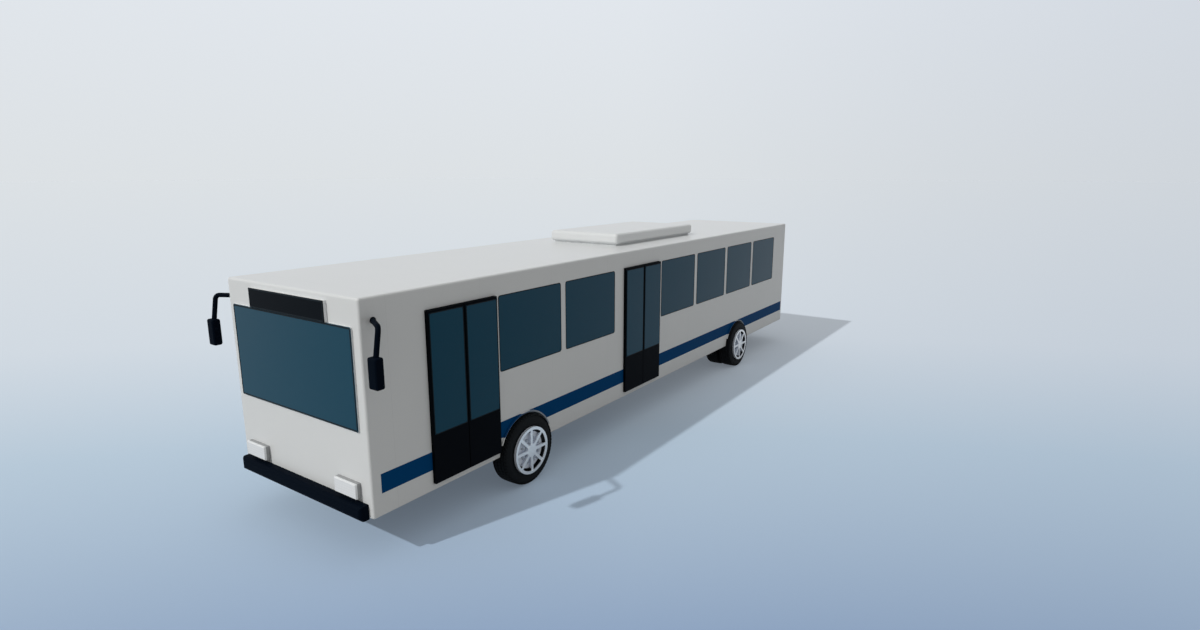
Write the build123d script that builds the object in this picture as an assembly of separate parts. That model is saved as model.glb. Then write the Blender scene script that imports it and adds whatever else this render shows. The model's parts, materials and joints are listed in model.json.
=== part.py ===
"""City bus: a 12 m single-deck rigid bus on two axles, with two double doors in its left side.

Frame: millimetres, +Z up, +X to the bus's left (the door side), and the front faces -Y.
The origin lies on the ground, under the middle of the whole vehicle's outline.
"""

import os

from build123d import *

# ---------------------------------------------------------------- body shell
body_width = 2500
body_length = 12210
roof_z = 2918
skirt_z = 525
seam_back = 70
corner_r = 30
skirt_r = 20
wall = 60

# ---------------------------------------------------------------- axles
front_overhang = 2451
wheelbase = 6966

# ---------------------------------------------------------------- wheels
tyre_r = 481
tyre_width = 260
tyre_shoulder_r = 40
tyre_proud = 80
rim_seat_r = 300
rim_flange_r = 325
rim_wall = 15
rim_proud = 35
twin_gap = 60
dish_r = 252
dish_wall = 20
dish_depth = 45
spoke_count = 8
spoke_width = 40
spoke_wall = 25
spoke_inset = 4
hub_r = 90
hub_gap = 10
arch_gap = 29
housing_gap = 39
housing_wall = 12
arch_lip_width = 20
arch_lip_proud = 25
arch_lip_low_z = 690
front_housing_inset = 440
rear_housing_inset = 570

# ---------------------------------------------------------------- floor
floor_z = 600
floor_wall = 40
platform_z = 950
platform_setback = 1012
engine_deck_z = 1200
engine_deck_length = 1500

# ---------------------------------------------------------------- windows
window_sill_z = 1667
window_top_z = 2644
window_width = 1255
window_pitch = 1364
first_window_back = 2632
window_corner_r = 20
pane = 10
pane_rebate = 25
glazing_gap = 2
last_window_margin = 200

windscreen_width = 2260
windscreen_sill_z = 1488
windscreen_top_z = 2612
windscreen_wall = 22
windscreen_seat = 45
sign_width = 1440
sign_gap = 3
sign_top_z = 2846
sign_proud = 42
rear_window_width = 1900
rear_window_sill_z = 1700
rear_window_top_z = 2560

# ---------------------------------------------------------------- doors
door_width = 1105
door_sill_z = 615
door_top_z = 2655
door_gap = 6
door_wall = 45
door_proud = 40
door_meeting_gap = 12
door_edge = 32
door_meeting_edge = 34
door_top_edge = 45
door_panel_height = 612
door_glass = 8
door_glass_lap = 12
front_door_back = 837
mid_door_back = 4891
post_r = 14
post_inset = 17
post_setback = 10
pin_r = 8
pin_length = 18
pin_gap = 0.3
seal_wall = 4
seal_lap = 24
seal_gap = 6

# ---------------------------------------------------------------- front and rear fittings
lamp_inner_x = 690
lamp_outer_x = 1070
lamp_low_z = 735
lamp_high_z = 905
lamp_proud = 72
lamp_r = 12
bumper_half = 1178
bumper_low_z = 515
bumper_high_z = 685
bumper_proud = 110
bumper_r = 50
tail_inner_x = 1000
tail_outer_x = 1150
tail_low_z = 1000
tail_high_z = 1420
tail_proud = 18
stripe_low_z = 783
stripe_high_z = 1003
stripe_wall = 2
stripe_setback = 125

mirror_low_z = 2054
mirror_high_z = 2381
mirror_inner_x = 1486
mirror_outer_x = 1625
mirror_reach = 119
mirror_depth = 104
mirror_edge_r = 24
mirror_glass = 4
arm_r = 28
arm_plate = 8
arm_plate_r = 36
arm_root_z = 2669
arm_root_back = 161
arm_elbow_reach = 6
arm_elbow_z = 2670
arm_foot_back = 8

roof_unit_half = 714
roof_unit_back = 5496
roof_unit_length = 2762
roof_unit_top_z = 3125
roof_unit_foot = 28
roof_unit_edge_r = 55
roof_unit_inset = 60

# ---------------------------------------------------------------- engine and its door
engine_side_gap = 50
engine_length = 1150
engine_low_z = 430
engine_high_z = 1120
engine_back_gap = 260
mount_inset = 200
mount_width = 100
mount_depth = 80
lid_half = 780
lid_low_z = 780
lid_high_z = 1480
lid_wall = 40
lid_gap = 6
lid_axis_inset = 12
lid_edge_gap = 0.5
lid_pin_r = 6
lid_pin_length = 22
louvre_count = 9
louvre_width = 1100
louvre_height = 18
louvre_pitch = 55
louvre_tilt = 30

# ---------------------------------------------------------------- underframe
rail_width = 80
rail_depth = 110
rail_housing_gap = 78
rear_rail_low_z = 700
rear_rail_depth = 120
cross_width = 60
cross_depth = 60
cross_count = 4
nose_cross_setback = 600
axle_cross_setback = 700
step_cross_gap = 300
rear_cross_setback = 250
tow_pin_r = 20
tow_plate = 60
tow_plate_length = 160
tow_drop = 20
pad_size = 90
pad_depth = 30
jack_setback = 900

# ---------------------------------------------------------------- running gear
kingpin_inset = 60
kingpin_r = 15
boss_r = 40
boss_half = 50
beam_width = 90
beam_low_z = 330
beam_depth = 90
knuckle_wall = 30
knuckle_half = 50
knuckle_web = 18
knuckle_gap = 5
spindle_r = 30
spindle_length = 95
running_gap = 0.3
axle_tube_r = 70
axle_tube_gap = 50
rear_spindle_r = 50
diff_r = 165
diff_half = 150
spring_r = 85
front_spring_gap = 13

# ---------------------------------------------------------------- inside
seat_width = 440
seat_depth = 430
seat_wall = 60
seat_height = 460
seat_back_height = 620
seat_back_wall = 60
bench_height = 400
bench_back_height = 420
seat_wall_gap = 20
seat_pitch = 764
seat_setback = 1100
platform_seat_gap = 120
pedestal = 60
pedestal_width = 180
pole_r = 17.5
pole_inset = 40
pole_seat_gap = 60
pole_step_gap = 150
pole_rows = (0, 3)
dash_depth = 420
dash_top_z = 1440
dash_low_z = 900
dash_inner_x = 150
steering_wheel_r = 225
steering_wheel_bar = 14
steering_spoke = 30
steering_spoke_wall = 18
steering_hub_r = 45
steering_hub_length = 60
steering_hub_drop = 20
steering_setback = 130
steering_rise = 60
steering_tilt = 55
column_r = 30
column_length = 320
driver_side_gap = 470
driver_back = 1260
driver_step = 220
driver_width = 480
driver_depth = 470
driver_pad = 100
driver_back_height = 700
driver_step_margin = 60
driver_step_reach = 120
driver_stand = 220
driver_stand_inset = 100
partition_wall = 30
partition_back = 1860
partition_top_z = 2050

# ---------------------------------------------------------------- derived places
half = body_width / 2
inner_half = half - wall
front_reach = max(mirror_reach, bumper_proud)
front_y = -(front_reach + body_length + bumper_proud) / 2 + front_reach
rear_y = front_y + body_length
roof_joint_z = roof_z - seam_back
front_axle_y = front_y + front_overhang
rear_axle_y = front_axle_y + wheelbase
axle_z = tyre_r
tyre_face_x = half + tyre_proud
wheel_x = tyre_face_x - tyre_width / 2
rim_face_x = tyre_face_x + rim_proud
kingpin_x = wheel_x - kingpin_inset
arch_r = tyre_r + arch_gap
housing_r = tyre_r + housing_gap
floor_low_z = floor_z - floor_wall
platform_y = rear_axle_y - platform_setback
engine_deck_y = rear_y - wall - engine_deck_length
platform_low_z = platform_z - floor_wall
housings = ((front_axle_y, front_housing_inset), (rear_axle_y, rear_housing_inset))
door_out_x = half + door_proud
door_in_x = door_out_x - door_wall
post_x = door_in_x - post_setback
lid_axis_y = rear_y - lid_axis_inset
lid_axis_z = lid_high_z - lid_axis_inset
engine_high_y = rear_y - engine_back_gap
rail_out_x = inner_half - rear_housing_inset - housing_wall - rail_housing_gap
rail_x = rail_out_x - rail_width
engine_half = rail_x - engine_side_gap
front_rail_low_z = floor_low_z - rail_depth
rear_rail_high_z = rear_rail_low_z + rear_rail_depth
rear_engine_mount_y = engine_high_y - mount_inset
front_engine_mount_y = engine_high_y - engine_length + mount_inset
tow_high_z = skirt_z - tow_drop
front_tow_y = front_y + wall + tow_plate_length / 2
rear_tow_y = rear_y - wall - tow_plate_length / 2
jack_ys = (front_axle_y + jack_setback, platform_y - jack_setback / 2)
boss_low_z = beam_low_z
boss_high_z = axle_z + boss_half
spindle_root_x = kingpin_x + boss_r + knuckle_gap + knuckle_web
spindle_end_x = spindle_root_x + spindle_length
inner_wheel_x = wheel_x - tyre_width - twin_gap
axle_end_x = inner_wheel_x - tyre_width / 2 - axle_tube_gap
seat_x1 = inner_half - seat_wall_gap
seat_x0 = seat_x1 - 2 * seat_width
first_seat_y = front_axle_y + seat_setback
bench_y = rear_y - wall - seat_depth
dash_y = front_y + wall
driver_x = inner_half - driver_side_gap
driver_y = front_y + driver_back
driver_step_half = driver_width / 2 + driver_step_margin
past = 1  # how far a cutter runs beyond the face that it cuts, and a joined piece into its carrier


def block(x0, x1, y0, y1, z0, z1):
    """A box between two corners."""
    size = (abs(x1 - x0), abs(y1 - y0), abs(z1 - z0))
    return Pos((x0 + x1) / 2, (y0 + y1) / 2, (z0 + z1) / 2) * Box(*size)


def rod_x(x0, x1, y, z, r):
    """A round bar along X."""
    return Pos((x0 + x1) / 2, y, z) * Rot(0, 90, 0) * Cylinder(r, abs(x1 - x0))


def rod_z(x, y, z0, z1, r):
    """An upright round bar."""
    return Pos(x, y, (z0 + z1) / 2) * Cylinder(r, abs(z1 - z0))


def mirrored(solid):
    """The same piece on the other side of the bus."""
    return mirror(solid, about=Plane.YZ)


def sided(solid, side):
    """A piece modelled on the left, for side +1 (left) or -1 (right)."""
    return solid if side > 0 else mirrored(solid)


# ---------------------------------------------------------------- body shell
def body_outer():
    outer = block(-half, half, front_y, rear_y, skirt_z, roof_z)
    outer = fillet(outer.edges().filter_by(Axis.Z), corner_r)
    outer = fillet(outer.faces().sort_by(Axis.Z)[-1].edges(), corner_r)
    return fillet(outer.faces().sort_by(Axis.Z)[0].edges(), skirt_r)


def body_inner():
    return block(-inner_half, inner_half, front_y + wall, rear_y - wall, skirt_z - past, roof_joint_z)


outer = body_outer()
shell = outer - body_inner()


def roof():
    return outer & block(-half, half, front_y, rear_y, roof_joint_z, roof_z)


def end_wall(y0, y1):
    return shell & block(-half, half, y0, y1, skirt_z, roof_joint_z)


# ---------------------------------------------------------------- openings in the side walls
def doorway_span(door_back):
    """Low and high Y of a doorway in the left wall."""
    return front_y + door_back - door_gap, front_y + door_back + door_width + door_gap


doorways = [doorway_span(door_back) for door_back in (front_door_back, mid_door_back)]


def in_doorway(y0, y1):
    """Whether a stretch of the left wall meets a doorway."""
    return any(y0 < high and y1 > low for low, high in doorways)


def window_span(slot):
    """Low and high Y of the window in a slot; the slots run back from 0, behind the front door."""
    middle = front_y + first_window_back + slot * window_pitch
    return middle - window_width / 2, middle + window_width / 2


window_room = body_length - first_window_back - window_width / 2 - last_window_margin
right_slots = range(-1, int(window_room // window_pitch) + 1)
left_slots = [slot for slot in right_slots if not in_doorway(*window_span(slot))]


def window_box(slot, x0, x1, grow):
    """A window's outline, grown (or shrunk) all round, between two X places."""
    y0, y1 = window_span(slot)
    box = block(x0, x1, y0 - grow, y1 + grow, window_sill_z - grow, window_top_z + grow)
    return fillet(box.edges().filter_by(Axis.X), window_corner_r)


def arch_cut(axle_y):
    return rod_x(inner_half - past, half + past, axle_y, axle_z, arch_r)


def doorway_cut(door_back):
    y0, y1 = doorway_span(door_back)
    return block(inner_half - past, half + past, y0, y1, door_sill_z - door_gap, door_top_z + door_gap)


def side_wall(side, slots, doors):
    skin = shell & block(0, half, front_y + seam_back, rear_y - seam_back, skirt_z, roof_joint_z)
    for slot in slots:
        skin -= window_box(slot, half - pane, half + past, 0)
        skin -= window_box(slot, inner_half - past, half, -pane_rebate)
    for door_back in doors:
        skin -= doorway_cut(door_back)
        for x, y, z0, z1 in pin_sockets(door_back):
            skin -= rod_z(x, y, z0, z1, pin_r + running_gap)
    for axle_y in (front_axle_y, rear_axle_y):
        skin -= arch_cut(axle_y)
    return sided(skin, side)


def side_panes(side, slots):
    panes = [window_box(slot, half - pane, half, -glazing_gap) for slot in slots]
    return [sided(glass, side) for glass in panes]


# ---------------------------------------------------------------- front and rear walls
def front_wall():
    skin = end_wall(front_y, front_y + seam_back)
    reach = windscreen_width / 2 - windscreen_seat
    low_z = windscreen_sill_z + windscreen_seat
    high_z = windscreen_top_z - windscreen_seat
    hole = block(-reach, reach, front_y - past, front_y + wall + past, low_z, high_z)
    return skin - fillet(hole.edges().filter_by(Axis.Y), window_corner_r)


def windscreen():
    reach = windscreen_width / 2
    glass = block(-reach, reach, front_y - windscreen_wall, front_y, windscreen_sill_z, windscreen_top_z)
    glass = fillet(glass.edges().filter_by(Axis.Y), window_corner_r)
    return fillet(glass.faces().sort_by(Axis.Y)[0].edges(), windscreen_wall / 4)


def destination_sign():
    low_z = windscreen_top_z + sign_gap
    box = block(-sign_width / 2, sign_width / 2, front_y - sign_proud, front_y, low_z, sign_top_z)
    return fillet(box.faces().sort_by(Axis.Y)[0].edges(), sign_proud / 8)


def rear_wall():
    skin = end_wall(rear_y - seam_back, rear_y)
    reach = rear_window_width / 2 - pane_rebate
    low_z = rear_window_sill_z + pane_rebate
    high_z = rear_window_top_z - pane_rebate
    hole = block(-reach, reach, rear_y - wall - past, rear_y + past, low_z, high_z)
    skin -= fillet(hole.edges().filter_by(Axis.Y), window_corner_r)
    bay = lid_half + lid_gap
    skin -= block(-bay, bay, rear_y - wall - past, rear_y + past, lid_low_z - lid_gap, lid_high_z + lid_gap)
    for x0, x1 in lid_pins():
        skin += rod_x(x0, x1, lid_axis_y, lid_axis_z, lid_pin_r)
    return skin


def rear_window():
    reach = rear_window_width / 2
    glass = block(-reach, reach, rear_y, rear_y + pane, rear_window_sill_z, rear_window_top_z)
    glass = fillet(glass.edges().filter_by(Axis.Y), window_corner_r)
    return fillet(glass.faces().sort_by(Axis.Y)[-1].edges(), pane / 4)


# ---------------------------------------------------------------- engine lid
def lid_pins():
    """X ends of the two pins that reach out of the bay's sides into the lid."""
    end = lid_half + lid_gap
    return ((end - lid_pin_length, end + past), (-end - past, -end + lid_pin_length))


def engine_lid():
    """The lid, rounded about its pins at the top, with its slanted air slots."""
    lid = block(-lid_half, lid_half, rear_y - lid_wall, rear_y, lid_low_z, lid_high_z)
    top_edge = lid.edges().filter_by(Axis.X).group_by(Axis.Z)[-1].sort_by(Axis.Y)[-1]
    lid = fillet(top_edge, lid_axis_inset - lid_edge_gap)
    for x0, x1 in lid_pins():
        lid -= rod_x(x0 - pin_gap, x1 + pin_gap, lid_axis_y, lid_axis_z, lid_pin_r + running_gap)
    slot = Rot(louvre_tilt, 0, 0) * Box(louvre_width, 4 * lid_wall, louvre_height)
    middle_z = (lid_low_z + lid_high_z) / 2
    for k in range(louvre_count):
        z = middle_z + (k - (louvre_count - 1) / 2) * louvre_pitch
        lid -= Pos(0, rear_y - lid_wall / 2, z) * slot
    return lid


# ---------------------------------------------------------------- doors
def leaf_span(door_back, leaf):
    """Low and high Y of a leaf: leaf +1 is hinged at the front jamb, leaf -1 at the rear one."""
    start = front_y + door_back
    length = (door_width - door_meeting_gap) / 2
    if leaf > 0:
        return start, start + length
    return start + door_width - length, start + door_width


def post_y(door_back, leaf):
    low, high = leaf_span(door_back, leaf)
    return low + post_inset if leaf > 0 else high - post_inset


def pin_sockets(door_back):
    """Centre and Z span of each socket in the sill and the header, for the pins of the posts."""
    low_z = door_sill_z - door_gap
    high_z = door_top_z + door_gap
    sockets = []
    for leaf in (1, -1):
        y = post_y(door_back, leaf)
        sockets.append((post_x, y, low_z - pin_length, low_z + past))
        sockets.append((post_x, y, high_z - past, high_z + pin_length))
    return sockets


def leaf_glass_box(door_back, leaf, x0, x1, grow):
    """A leaf's window, between its black borders."""
    low, high = leaf_span(door_back, leaf)
    y0 = low + (door_edge if leaf > 0 else door_meeting_edge) - grow
    y1 = high - (door_meeting_edge if leaf > 0 else door_edge) + grow
    z0 = door_sill_z + door_panel_height - grow
    return block(x0, x1, y0, y1, z0, door_top_z - door_top_edge + grow)


def door_leaf(door_back, leaf):
    low, high = leaf_span(door_back, leaf)
    frame = block(door_in_x, door_out_x, low, high, door_sill_z, door_top_z)
    frame -= leaf_glass_box(door_back, leaf, door_in_x - past, door_out_x + past, 0)
    y = post_y(door_back, leaf)
    frame += rod_z(post_x, y, door_sill_z, door_top_z, post_r)
    reach = door_gap + pin_length - pin_gap
    frame += rod_z(post_x, y, door_sill_z - reach, door_top_z + reach, pin_r)
    if leaf > 0:
        seal_x = door_in_x - seal_gap
        root = block(seal_x - seal_wall, door_in_x, high - door_meeting_edge, high, door_sill_z, door_top_z)
        lip = block(seal_x - seal_wall, seal_x, high - past, high + seal_lap, door_sill_z, door_top_z)
        frame += root + lip
    return frame


def door_pane(door_back, leaf):
    return leaf_glass_box(door_back, leaf, door_out_x, door_out_x + door_glass, door_glass_lap)


# ---------------------------------------------------------------- wheel housings and floor
def housing_solid(axle_y, inset, extra):
    """The space in a wheel housing, with its wall thickness added where extra is more than zero."""
    low_x = inner_half - inset - extra
    drum = rod_x(low_x, inner_half, axle_y, axle_z, housing_r + extra)
    reach = housing_r + extra + past
    above = block(low_x, inner_half, axle_y - reach, axle_y + reach, floor_low_z, axle_z + reach)
    return drum & above


def wheel_housing(axle_y, inset):
    hollow = rod_x(inner_half - inset, inner_half + past, axle_y, axle_z, housing_r)
    return housing_solid(axle_y, inset, housing_wall) - hollow


def arch_lip(axle_y):
    face_x = half + arch_lip_proud
    lip = rod_x(half, face_x, axle_y, axle_z, arch_r + arch_lip_width)
    lip -= rod_x(half - past, face_x + past, axle_y, axle_z, arch_r)
    reach = arch_r + arch_lip_width + past
    return lip & block(half, face_x, axle_y - reach, axle_y + reach, arch_lip_low_z, axle_z + reach)


def floor():
    """The low floor, the raised platform and the engine deck, with a riser at each step."""
    riser_y = platform_y - floor_wall
    deck_riser_y = engine_deck_y - floor_wall
    # Each section: its Y ends, its Z ends.
    sections = (
        (front_y + wall, platform_y, floor_low_z, floor_z),
        (riser_y, platform_y, floor_low_z, platform_z),
        (riser_y, engine_deck_y, platform_low_z, platform_z),
        (deck_riser_y, engine_deck_y, platform_low_z, engine_deck_z),
        (deck_riser_y, rear_y - wall, engine_deck_z - floor_wall, engine_deck_z),
    )
    deck = Part()
    for y0, y1, z0, z1 in sections:
        deck += block(-inner_half, inner_half, y0, y1, z0, z1)
    for axle_y, inset in housings:
        for side in (1, -1):
            deck -= sided(housing_solid(axle_y, inset, housing_wall + running_gap), side)
    return deck


# ---------------------------------------------------------------- underframe
def side_rail(side):
    """A rail that steps up behind the low floor, with its jacking pads and engine mounts."""
    step_y = platform_y + rail_depth
    bar = block(rail_x, rail_out_x, front_y + wall, step_y, front_rail_low_z, floor_low_z)
    bar += block(rail_x, rail_out_x, platform_y, step_y, front_rail_low_z, rear_rail_high_z)
    bar += block(rail_x, rail_out_x, platform_y, rear_y - wall, rear_rail_low_z, rear_rail_high_z)
    middle_x = (rail_x + rail_out_x) / 2
    reach = pad_size / 2
    for y in jack_ys:
        bar += block(middle_x - reach, middle_x + reach, y - reach, y + reach,
                     front_rail_low_z - pad_depth, front_rail_low_z)
    for y in (front_engine_mount_y, rear_engine_mount_y):
        bar += block(engine_half, rail_x + past, y - mount_width / 2, y + mount_width / 2,
                     rear_rail_low_z, rear_rail_low_z + mount_depth)
    return sided(bar, side)


def cross_members():
    """Short members between and outside the low rails, and whole ones on top of the high rails."""
    first_y = front_axle_y + axle_cross_setback
    spacing = (platform_y - step_cross_gap - first_y) / (cross_count - 1)
    low_ys = [front_y + nose_cross_setback] + [first_y + k * spacing for k in range(cross_count)]
    reach = cross_width / 2
    members = []
    for y in low_ys:
        for x0, x1 in ((-inner_half, -rail_out_x), (-rail_x, rail_x), (rail_out_x, inner_half)):
            members.append(block(x0, x1, y - reach, y + reach, floor_low_z - cross_depth, floor_low_z))
    # The rear ones: Y, half length. The one above the axle ends short of the wheel housings.
    for y, x in ((platform_y + rear_cross_setback, inner_half), (rear_axle_y, rail_out_x)):
        members.append(block(-x, x, y - reach, y + reach, rear_rail_high_z, platform_low_z))
    return members


def tow_plate_with_eye(y, reach):
    reach_y = tow_plate_length / 2
    plate = block(-reach, reach, y - reach_y, y + reach_y, tow_high_z - tow_plate, tow_high_z)
    return plate - rod_z(0, y, tow_high_z - tow_plate - past, tow_high_z + past, tow_pin_r)


def rear_tow_bracket():
    """The rear tow plate hangs from the high rails, where the front one lies between the low rails."""
    bracket = tow_plate_with_eye(rear_tow_y, rail_out_x)
    reach_y = tow_plate_length / 2
    for side in (1, -1):
        hanger = block(rail_x, rail_out_x, rear_tow_y - reach_y, rear_tow_y + reach_y,
                       tow_high_z - past, rear_rail_low_z)
        bracket += sided(hanger, side)
    return bracket


# ---------------------------------------------------------------- axles and knuckles
def front_axle():
    reach = beam_width / 2
    beam = block(-kingpin_x, kingpin_x, front_axle_y - reach, front_axle_y + reach,
                 beam_low_z, beam_low_z + beam_depth)
    for x in (-kingpin_x, kingpin_x):
        beam += rod_z(x, front_axle_y, boss_low_z, boss_high_z, boss_r)
        beam -= rod_z(x, front_axle_y, boss_low_z - past, boss_high_z + past, kingpin_r + running_gap)
    return beam


def knuckle(side):
    """A fork about the kingpin boss, its kingpin, and the spindle that the wheel turns on."""
    low, high = boss_low_z - running_gap, boss_high_z + running_gap
    x0, x1 = kingpin_x - boss_r, spindle_root_x
    y0, y1 = front_axle_y - knuckle_half, front_axle_y + knuckle_half
    fork = block(x0, x1, y0, y1, high, high + knuckle_wall)
    fork += block(x0, x1, y0, y1, low - knuckle_wall, low)
    fork += block(x1 - knuckle_web, x1, y0, y1, low - past, high + past)
    fork += rod_z(kingpin_x, front_axle_y, low - past, high + past, kingpin_r)
    fork += rod_x(x1 - past, spindle_end_x, front_axle_y, axle_z, spindle_r)
    return sided(fork, side)


def rear_axle():
    axle = rod_x(-axle_end_x, axle_end_x, rear_axle_y, axle_z, axle_tube_r)
    axle += rod_x(-spindle_end_x, spindle_end_x, rear_axle_y, axle_z, rear_spindle_r)
    axle += rod_x(-diff_half, diff_half, rear_axle_y, axle_z, diff_r)
    return axle


def air_springs():
    """Bellows between the axles and the underframe, left and right of each axle."""
    front_x = inner_half - front_housing_inset - housing_wall - front_spring_gap - spring_r
    front = rod_z(front_x, front_axle_y, beam_low_z + beam_depth, floor_low_z, spring_r)
    rear_x = (rail_x + rail_out_x) / 2
    rear = rod_z(rear_x, rear_axle_y, axle_z + axle_tube_r, rear_rail_low_z, spring_r)
    rear -= rod_x(rear_x - spring_r, rear_x + spring_r, rear_axle_y, axle_z, axle_tube_r + running_gap)
    return [front, mirrored(front), rear, mirrored(rear)]


# ---------------------------------------------------------------- wheels
def tyre(x, axle_y):
    """A plain tyre: a ring with rounded shoulders, centred on x."""
    ring = rod_x(x - tyre_width / 2, x + tyre_width / 2, axle_y, axle_z, tyre_r)
    ring = fillet(ring.edges().filter_by(GeomType.CIRCLE), tyre_shoulder_r)
    return ring - rod_x(x - tyre_width, x + tyre_width, axle_y, axle_z, rim_seat_r + running_gap)


def barrel(x0, x1, axle_y):
    ring = rod_x(x0, x1, axle_y, axle_z, rim_seat_r)
    return ring - rod_x(x0 - past, x1 + past, axle_y, axle_z, rim_seat_r - rim_wall)


def rim_face(axle_y):
    """The outer face of a wheel: its barrel, flange ring, spokes and dish."""
    bore_r = rim_seat_r - rim_wall
    face = barrel(wheel_x - tyre_width / 2 + rim_wall, rim_face_x, axle_y)
    flange = rod_x(tyre_face_x + running_gap, rim_face_x, axle_y, axle_z, rim_flange_r)
    face += flange - rod_x(tyre_face_x - past, rim_face_x + past, axle_y, axle_z, bore_r)
    spoke_x1 = rim_face_x - spoke_inset
    reach = spoke_width / 2
    bar = block(spoke_x1 - spoke_wall, spoke_x1, -reach, reach, 0, bore_r + rim_wall / 2)
    for k in range(spoke_count):
        face += Pos(0, axle_y, axle_z) * Rot(360 * k / spoke_count, 0, 0) * bar
    dish_x = rim_face_x - dish_depth
    return face + rod_x(dish_x - dish_wall, dish_x, axle_y, axle_z, dish_r)


def hub(start_x, axle_y, bore_r):
    """A wheel's hub and cap, as the solid and the bore that the spindle fills."""
    end_x = spindle_end_x + pin_gap
    solid = rod_x(start_x, rim_face_x, axle_y, axle_z, hub_r)
    return solid, rod_x(start_x - past, end_x, axle_y, axle_z, bore_r + running_gap)


def front_rim(side):
    solid, bore = hub(spindle_root_x + hub_gap, front_axle_y, spindle_r)
    return sided(rim_face(front_axle_y) + solid - bore, side)


def rear_rim(side):
    """A twin wheel: the outer face, the inner wheel's barrel and disc, and one hub through both."""
    solid, bore = hub(axle_end_x + hub_gap, rear_axle_y, rear_spindle_r)
    face = rim_face(rear_axle_y)
    inner_x1 = inner_wheel_x + tyre_width / 2 + rim_wall
    face += barrel(inner_wheel_x - tyre_width / 2 + rim_wall, inner_x1, rear_axle_y)
    face += rod_x(inner_x1 - dish_wall, inner_x1, rear_axle_y, axle_z, rim_seat_r - past)
    return sided(face + solid - bore, side)


# ---------------------------------------------------------------- lamps, bumpers and stripes
def outer_face(box, out):
    """The face of a box that looks forward (out -1) or back (out +1)."""
    return box.faces().sort_by(Axis.Y)[0 if out < 0 else -1]


def lamp_pair(inner_x, outer_x, y0, y1, z0, z1, out):
    box = block(inner_x, outer_x, y0, y1, z0, z1)
    box = fillet(outer_face(box, out).edges(), lamp_r)
    return [box, mirrored(box)]


def headlamps():
    return lamp_pair(lamp_inner_x, lamp_outer_x, front_y - lamp_proud, front_y, lamp_low_z, lamp_high_z, -1)


def tail_lamps():
    return lamp_pair(tail_inner_x, tail_outer_x, rear_y, rear_y + tail_proud, tail_low_z, tail_high_z, 1)


def bumper(y0, y1, out):
    bar = block(-bumper_half, bumper_half, y0, y1, bumper_low_z, bumper_high_z)
    return fillet(outer_face(bar, out).edges(), bumper_r)


def side_stripe(side):
    """The stripe's runs on one side, broken by the wheel arches and, on the left, by the doors."""
    face_x = half + stripe_wall
    band = block(half, face_x, front_y + stripe_setback, rear_y - seam_back, stripe_low_z, stripe_high_z)
    for axle_y in (front_axle_y, rear_axle_y):
        band -= rod_x(half - past, face_x + past, axle_y, axle_z, arch_r + arch_lip_width)
    if side > 0:
        for y0, y1 in doorways:
            band -= block(half - past, face_x + past, y0, y1, stripe_low_z - past, stripe_high_z + past)
    return [sided(piece, side) for piece in band.solids()]


# ---------------------------------------------------------------- mirrors and roof unit
def mirror_head():
    y0 = front_y - mirror_reach
    head = block(mirror_inner_x, mirror_outer_x, y0, y0 + mirror_depth, mirror_low_z, mirror_high_z)
    return fillet(head.edges(), mirror_edge_r)


def mirror_arm():
    """A bent tube from a round plate on the side wall to the top of the head."""
    head_x = (mirror_inner_x + mirror_outer_x) / 2
    head_y = front_y - mirror_reach + mirror_depth / 2
    root_y = front_y + arm_root_back
    root = (half, root_y, arm_root_z)
    elbow = (head_x, front_y - arm_elbow_reach, arm_elbow_z)
    foot = (head_x, head_y + arm_foot_back, mirror_high_z - mirror_edge_r)
    path = FilletPolyline(root, elbow, foot, radius=2 * arm_r)
    arm = sweep(Plane(path @ 0, z_dir=path % 0) * Circle(arm_r), path=path)
    reach = 2 * arm_r
    z0, z1 = arm_root_z - reach, arm_root_z + reach
    arm -= block(half - reach, half, root_y - reach, root_y + reach, z0, z1)
    return arm + rod_x(half, half + arm_plate, root_y, arm_root_z, arm_plate_r)


def mirror_unit():
    return mirror_arm() + mirror_head()


def mirror_face():
    y = front_y - mirror_reach + mirror_depth
    margin = mirror_edge_r
    return block(mirror_inner_x + margin, mirror_outer_x - margin, y, y + mirror_glass,
                 mirror_low_z + margin, mirror_high_z - margin)


def roof_unit():
    """A rounded pod on a smaller foot, which leaves a dark gap above the roof."""
    y0 = front_y + roof_unit_back
    y1 = y0 + roof_unit_length
    foot_half = roof_unit_half - roof_unit_inset
    foot_z = roof_z + roof_unit_foot
    pod = block(-roof_unit_half, roof_unit_half, y0, y1, foot_z, roof_unit_top_z)
    pod = fillet(pod.edges(), roof_unit_edge_r)
    y0 += roof_unit_inset
    y1 -= roof_unit_inset
    return pod + block(-foot_half, foot_half, y0, y1, roof_z, foot_z + past)


# ---------------------------------------------------------------- engine
def engine():
    front_end_y = engine_high_y - engine_length
    return block(-engine_half, engine_half, front_end_y, engine_high_y, engine_low_z, engine_high_z)


# ---------------------------------------------------------------- seats and poles
def row_starts(first_y, end_y):
    """Front edges of the rows of seats that fit between two places."""
    count = int((end_y - first_y - seat_depth) // seat_pitch) + 1
    return [first_y + k * seat_pitch for k in range(count)]


def seat_places():
    """Side, front edge and floor height of each pair of seats; none stands in a doorway."""
    places = []
    for y in row_starts(first_seat_y, platform_y - floor_wall):
        places.append((-1, y, floor_z))
        if not in_doorway(y, y + seat_depth):
            places.append((1, y, floor_z))
    for y in row_starts(platform_y + platform_seat_gap, engine_deck_y - floor_wall):
        places.append((-1, y, platform_z))
        places.append((1, y, platform_z))
    return places


def seat_cushions():
    pads = []
    for side, y, base in seat_places():
        top = base + seat_height
        pads.append(sided(block(seat_x0, seat_x1, y, y + seat_depth, top - seat_wall, top), side))
    return pads


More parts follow.
